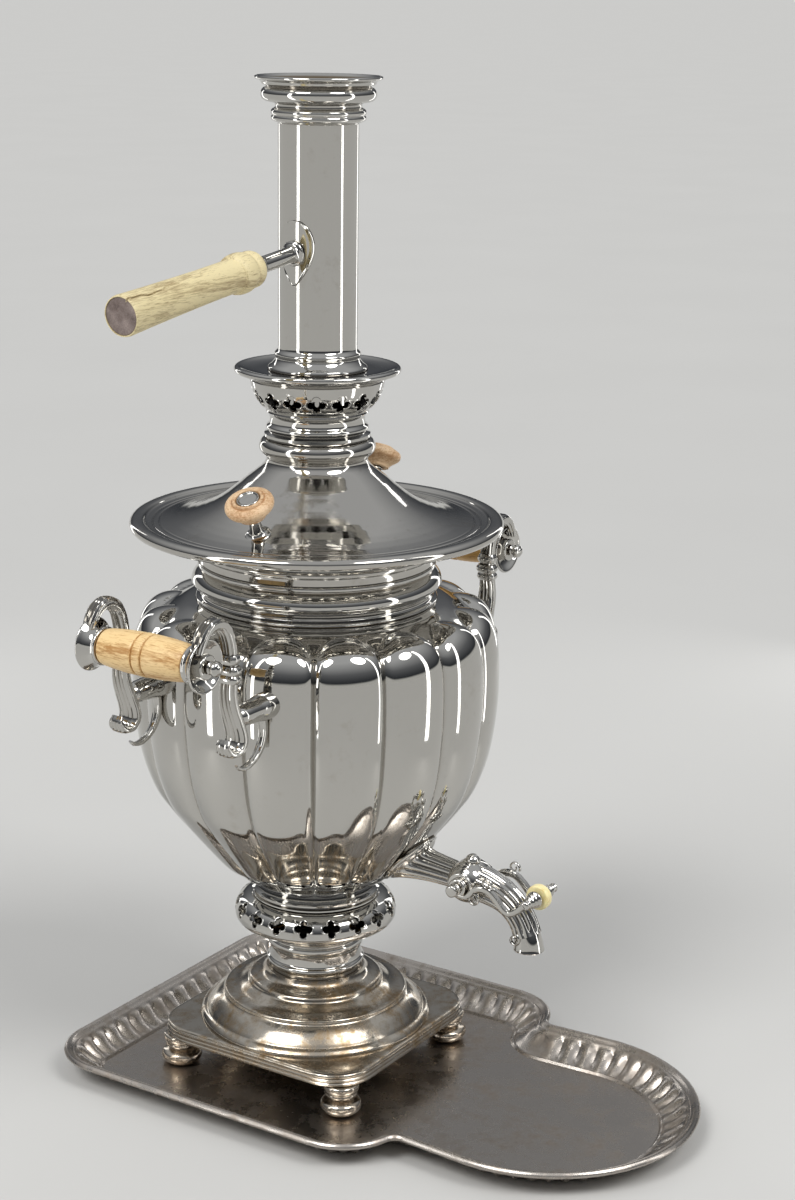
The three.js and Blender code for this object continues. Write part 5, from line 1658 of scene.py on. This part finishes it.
hub_line = [
    (3.6, -2.3), (6.2, -2.3), (7, -1.6), (7, -0.6), (6.5, 0), (7, 0.6), (7, 1.6), (6.2, 2.3),
    (3.6, 2.3), (3.6, -2.3),
]
# along the lever and up from its axis, in mm, with the arm's half height there
arm_rows = [
    (2, -5.5, 2.2), (8, -5, 2.5), (14, 1.5, 2.8), (20, 4, 3), (27, 3, 3), (33, -1.5, 3), (38.5, -7, 3),
    (44, -9, 2.8), (50, -6, 2.6), (54.5, -2, 2.6), (57, 0, 2.6),
]
# radius and distance from the middle of the lever, from its end to the ring
crossbar_beads = [
    (2.2, 22.4), (3.2, 21.8), (3.5, 20.8), (2.5, 19.7), (2.4, 18.7), (3.4, 17.9), (3.7, 16.9),
    (2.8, 15.9), (2.8, 15.4), (4.2, 14.6), (4.6, 13.6), (3.4, 12.7), (3.4, 12.2), (5, 11.3),
    (5.4, 10.3), (4.1, 9.3), (4.2, 8.8), (5.9, 7.8), (6.3, 6.6), (5.8, 5), (4.8, 4.3), (3.6, 4),
]
crossbar_end = 22.6
root_curl = (13, -6, 5, math.radians(80), 1.4, 1.3, 1)
back_curl = (25, 8.6, 4.8, math.radians(200), 1.25, 0.9, -1)
back_curl_inset = 0.6 * mm


def lever_arm(side):
    """One arm with its hub on the key, a curl under its root and one on its back."""
    rows = through([Vector(row) * mm for row in arm_rows], arm_steps)
    spread = lever_half - hub_place
    centres = [
        Vector((side * (hub_place + spread * i / len(rows)), -tap_reach - row.x, tap_height + row.y))
        for i, row in enumerate(rows)
    ]
    arm = swept(centres, across_tap, lambda i: fluted_section(
        arm_half_width, rows[i].z, *arm_flutes, arm_columns))
    root = curl(side * hub_place, *root_curl)
    back = curl(side * (lever_half - back_curl_inset), *back_curl)
    hub = laid_part(hub_line, along_x, (side * hub_place, -tap_reach, tap_height))
    return joined(arm, root, back, hub)


half_beads = [(r, -x) for r, x in crossbar_beads]
bead_line = [(0, -crossbar_end), *half_beads, *reversed(crossbar_beads), (0, crossbar_end)]
crossbar_place = (0, -tap_reach - lever_reach, tap_height)
crossbar = laid_part(bead_line, along_x, crossbar_place)
for name, shape, node in (
    ("ground_tap_key", laid_part(key_line, along_x, barrel), "tap_key"),
    ("key_ball_nut", laid_part(nut_end, along_x, barrel), "tap_key_nut"),
    ("stirrup_lever", joined(lever_arm(-1), lever_arm(1), crossbar), "tap_lever"),
):
    piece(name, shape, bright_nickel, "tap_key", "nickel_plate", node)


def bone():
    """Turned and waxed bone: cream, a little deeper in patches, with short dark pores and a
    waxy shine."""
    patch = 6 * mm
    pore = 0.35 * mm
    pore_depth = 0.05 * mm
    material, tree, place = new_finish("turned_bone")
    patches = add(tree, "TexNoise", {"Vector": place, "Scale": 1 / patch, "Detail": 3.0}).outputs["Fac"]
    pores = add(tree, "TexNoise", {"Vector": place, "Scale": 1 / pore, "Detail": 2.0}).outputs["Fac"]
    both = add(tree, "Math", {"Value": patches, "Value_001": pores}, operation="ADD").outputs["Value"]
    waxed = add(tree, "ValToRGB", {"Fac": both}, [(0.7, "#d3bd76"), (1.0, "#f0e4ae")])
    skin = add(tree, "Bump", {
        "Height": pores, "Strength": 0.25, "Distance": pore_depth,
    }).outputs["Normal"]
    shine = add(tree, "MapRange", {"Value": patches, "To Min": 0.24, "To Max": 0.42}).outputs["Result"]
    shader = add(tree, "BsdfPrincipled", {
        "Base Color": waxed.outputs["Color"], "Roughness": shine, "Normal": skin, "IOR": 1.54,
        "Subsurface Weight": 0.1, "Subsurface Scale": 2 * mm,
    })
    add(tree, "OutputMaterial", {"Surface": shader.outputs["BSDF"]})
    return material


ring_line = [
    (6.1, -3.5), (8.2, -3.5), (8.9, -2.9), (9.3, -1.8), (9.3, 1.8), (8.9, 2.9), (8.2, 3.5), (6.1, 3.5),
    (3.7, 3.3), (3.7, -3.3), (6.1, -3.5),
]
piece(
    "bone_lever_ring", laid_part(ring_line, along_x, crossbar_place), bone(),
    "tap_key", "bone_ring", "tap_lever_ring",
)

# Floor, lamps and camera
# A plain pale floor, two soft suns high to the left and right of the camera, four upright strip
# lamps that draw streaks down the lobes and the pipe, and the camera just over the chimney's height.
floor_reach = 450.0
floor_sides = 64
camera_side = math.radians(-145.3)
aim_height = 0.62
sun_distance = 1.5
sun_height = 2.5
sun_softness = math.radians(24)
strip_height = 0.56
strip_length = 1.0


def floor_finish():
    """Smooth pale paper, a shade uneven and quite matt."""
    patch = 0.4
    material, tree, place = new_finish("pale_paper_floor")
    patches = add(tree, "TexNoise", {"Vector": place, "Scale": 1 / patch, "Detail": 3.0}).outputs["Fac"]
    paper = add(tree, "ValToRGB", {"Fac": patches}, [(0.0, "#bfbebb"), (1.0, "#c3c2bf")])
    shader = add(tree, "BsdfPrincipled", {
        "Base Color": paper.outputs["Color"], "Roughness": 0.9, "Specular IOR Level": 0.0,
    })
    add(tree, "OutputMaterial", {"Surface": shader.outputs["BSDF"]})
    return material


floor_mesh = bpy.data.meshes.new("floor")
floor_points = [cmath.rect(floor_reach, full_turn * i / floor_sides) for i in range(floor_sides)]
floor_mesh.from_pydata([(p.real, p.imag, 0) for p in floor_points], [], [tuple(range(floor_sides))])
floor_mesh.materials.append(floor_finish())
floor = placed_object("floor", floor_mesh)


def lamp_at(name, kind, turn, distance, height, watts):
    """A lamp so many degrees round from the camera, aimed at the samovar's axis: a high one down
    at the chimney, a low one level."""
    light = bpy.data.lights.new(name, kind)
    light.energy = watts
    lamp = placed_object(name, light)
    spot = cmath.rect(distance, camera_side + math.radians(turn))
    lamp.location = (spot.real, spot.imag, height)
    aim = Vector((0, 0, min(height, aim_height))) - Vector(lamp.location)
    lamp.rotation_euler = aim.to_track_quat("-Z", "Y").to_euler()
    return light


for name, turn, strength in (("high_left_sun", -42, 1.55), ("high_right_sun", 50, 1.3)):
    lamp_at(name, "SUN", turn, sun_distance, sun_height, strength).angle = sun_softness
for name, turn, distance, width, watts in (
    ("left_strip_lamp", -58, 0.68, 0.09, 1.0), ("right_strip_lamp", 70, 0.62, 0.06, 0.7),
    ("left_edge_lamp", -146, 1.3, 0.1, 0.9), ("right_edge_lamp", 146, 1.3, 0.1, 0.9),
):
    light = lamp_at(name, "AREA", turn, distance, strip_height, watts)
    light.shape = "RECTANGLE"
    light.size = width
    light.size_y = strip_length

world = bpy.data.worlds.new("studio")
world.use_nodes = True
world.node_tree.nodes.clear()
studio = world.node_tree
direction = add(studio, "TexCoord").outputs["Generated"]
height = add(studio, "SeparateXYZ", {"Vector": direction}).outputs["Z"]
# pale up to the horizon like the floor, with dark walls over it and a paler ceiling
walls = add(studio, "ValToRGB", {"Fac": height}, [
    (0.03, "#cbcbc8"), (0.75, "#c2c4c7"), (0.07, "#34373c"), (0.32, "#6c6e72"),
])
backdrop = add(studio, "Background", {"Color": walls.outputs["Color"], "Strength": 1.0})
add(studio, "OutputWorld", {"Surface": backdrop.outputs["Background"]})
bpy.context.scene.world = world
bpy.context.scene.view_settings.view_transform = "Standard"

photo_height = 1200
focal_pixels = 2302
side_turn = math.radians(-55.3)
yaw = math.radians(2.08)
pitch = math.radians(15.19)
roll = math.radians(0.76)
camera_distance = 1638 * mm
camera_height = 809 * mm
forward = Vector((math.sin(yaw) * math.cos(pitch), math.cos(yaw) * math.cos(pitch), -math.sin(pitch)))
right = Vector((math.cos(yaw), -math.sin(yaw), 0))
up = right.cross(forward)
rolled_right = right * math.cos(roll) + up * math.sin(roll)
rolled_up = up * math.cos(roll) - right * math.sin(roll)
stand = Matrix((rolled_right, rolled_up, -forward)).transposed().to_4x4()
stand.translation = (0, -camera_distance, camera_height)
lens = bpy.data.cameras.new("camera")
lens.sensor_width = 36
lens.lens = lens.sensor_width * focal_pixels / photo_height
lens.clip_end = 1000
camera = placed_object("camera", lens)
camera.matrix_world = Matrix.Rotation(side_turn, 4, "Z") @ stand
bpy.context.scene.camera = camera
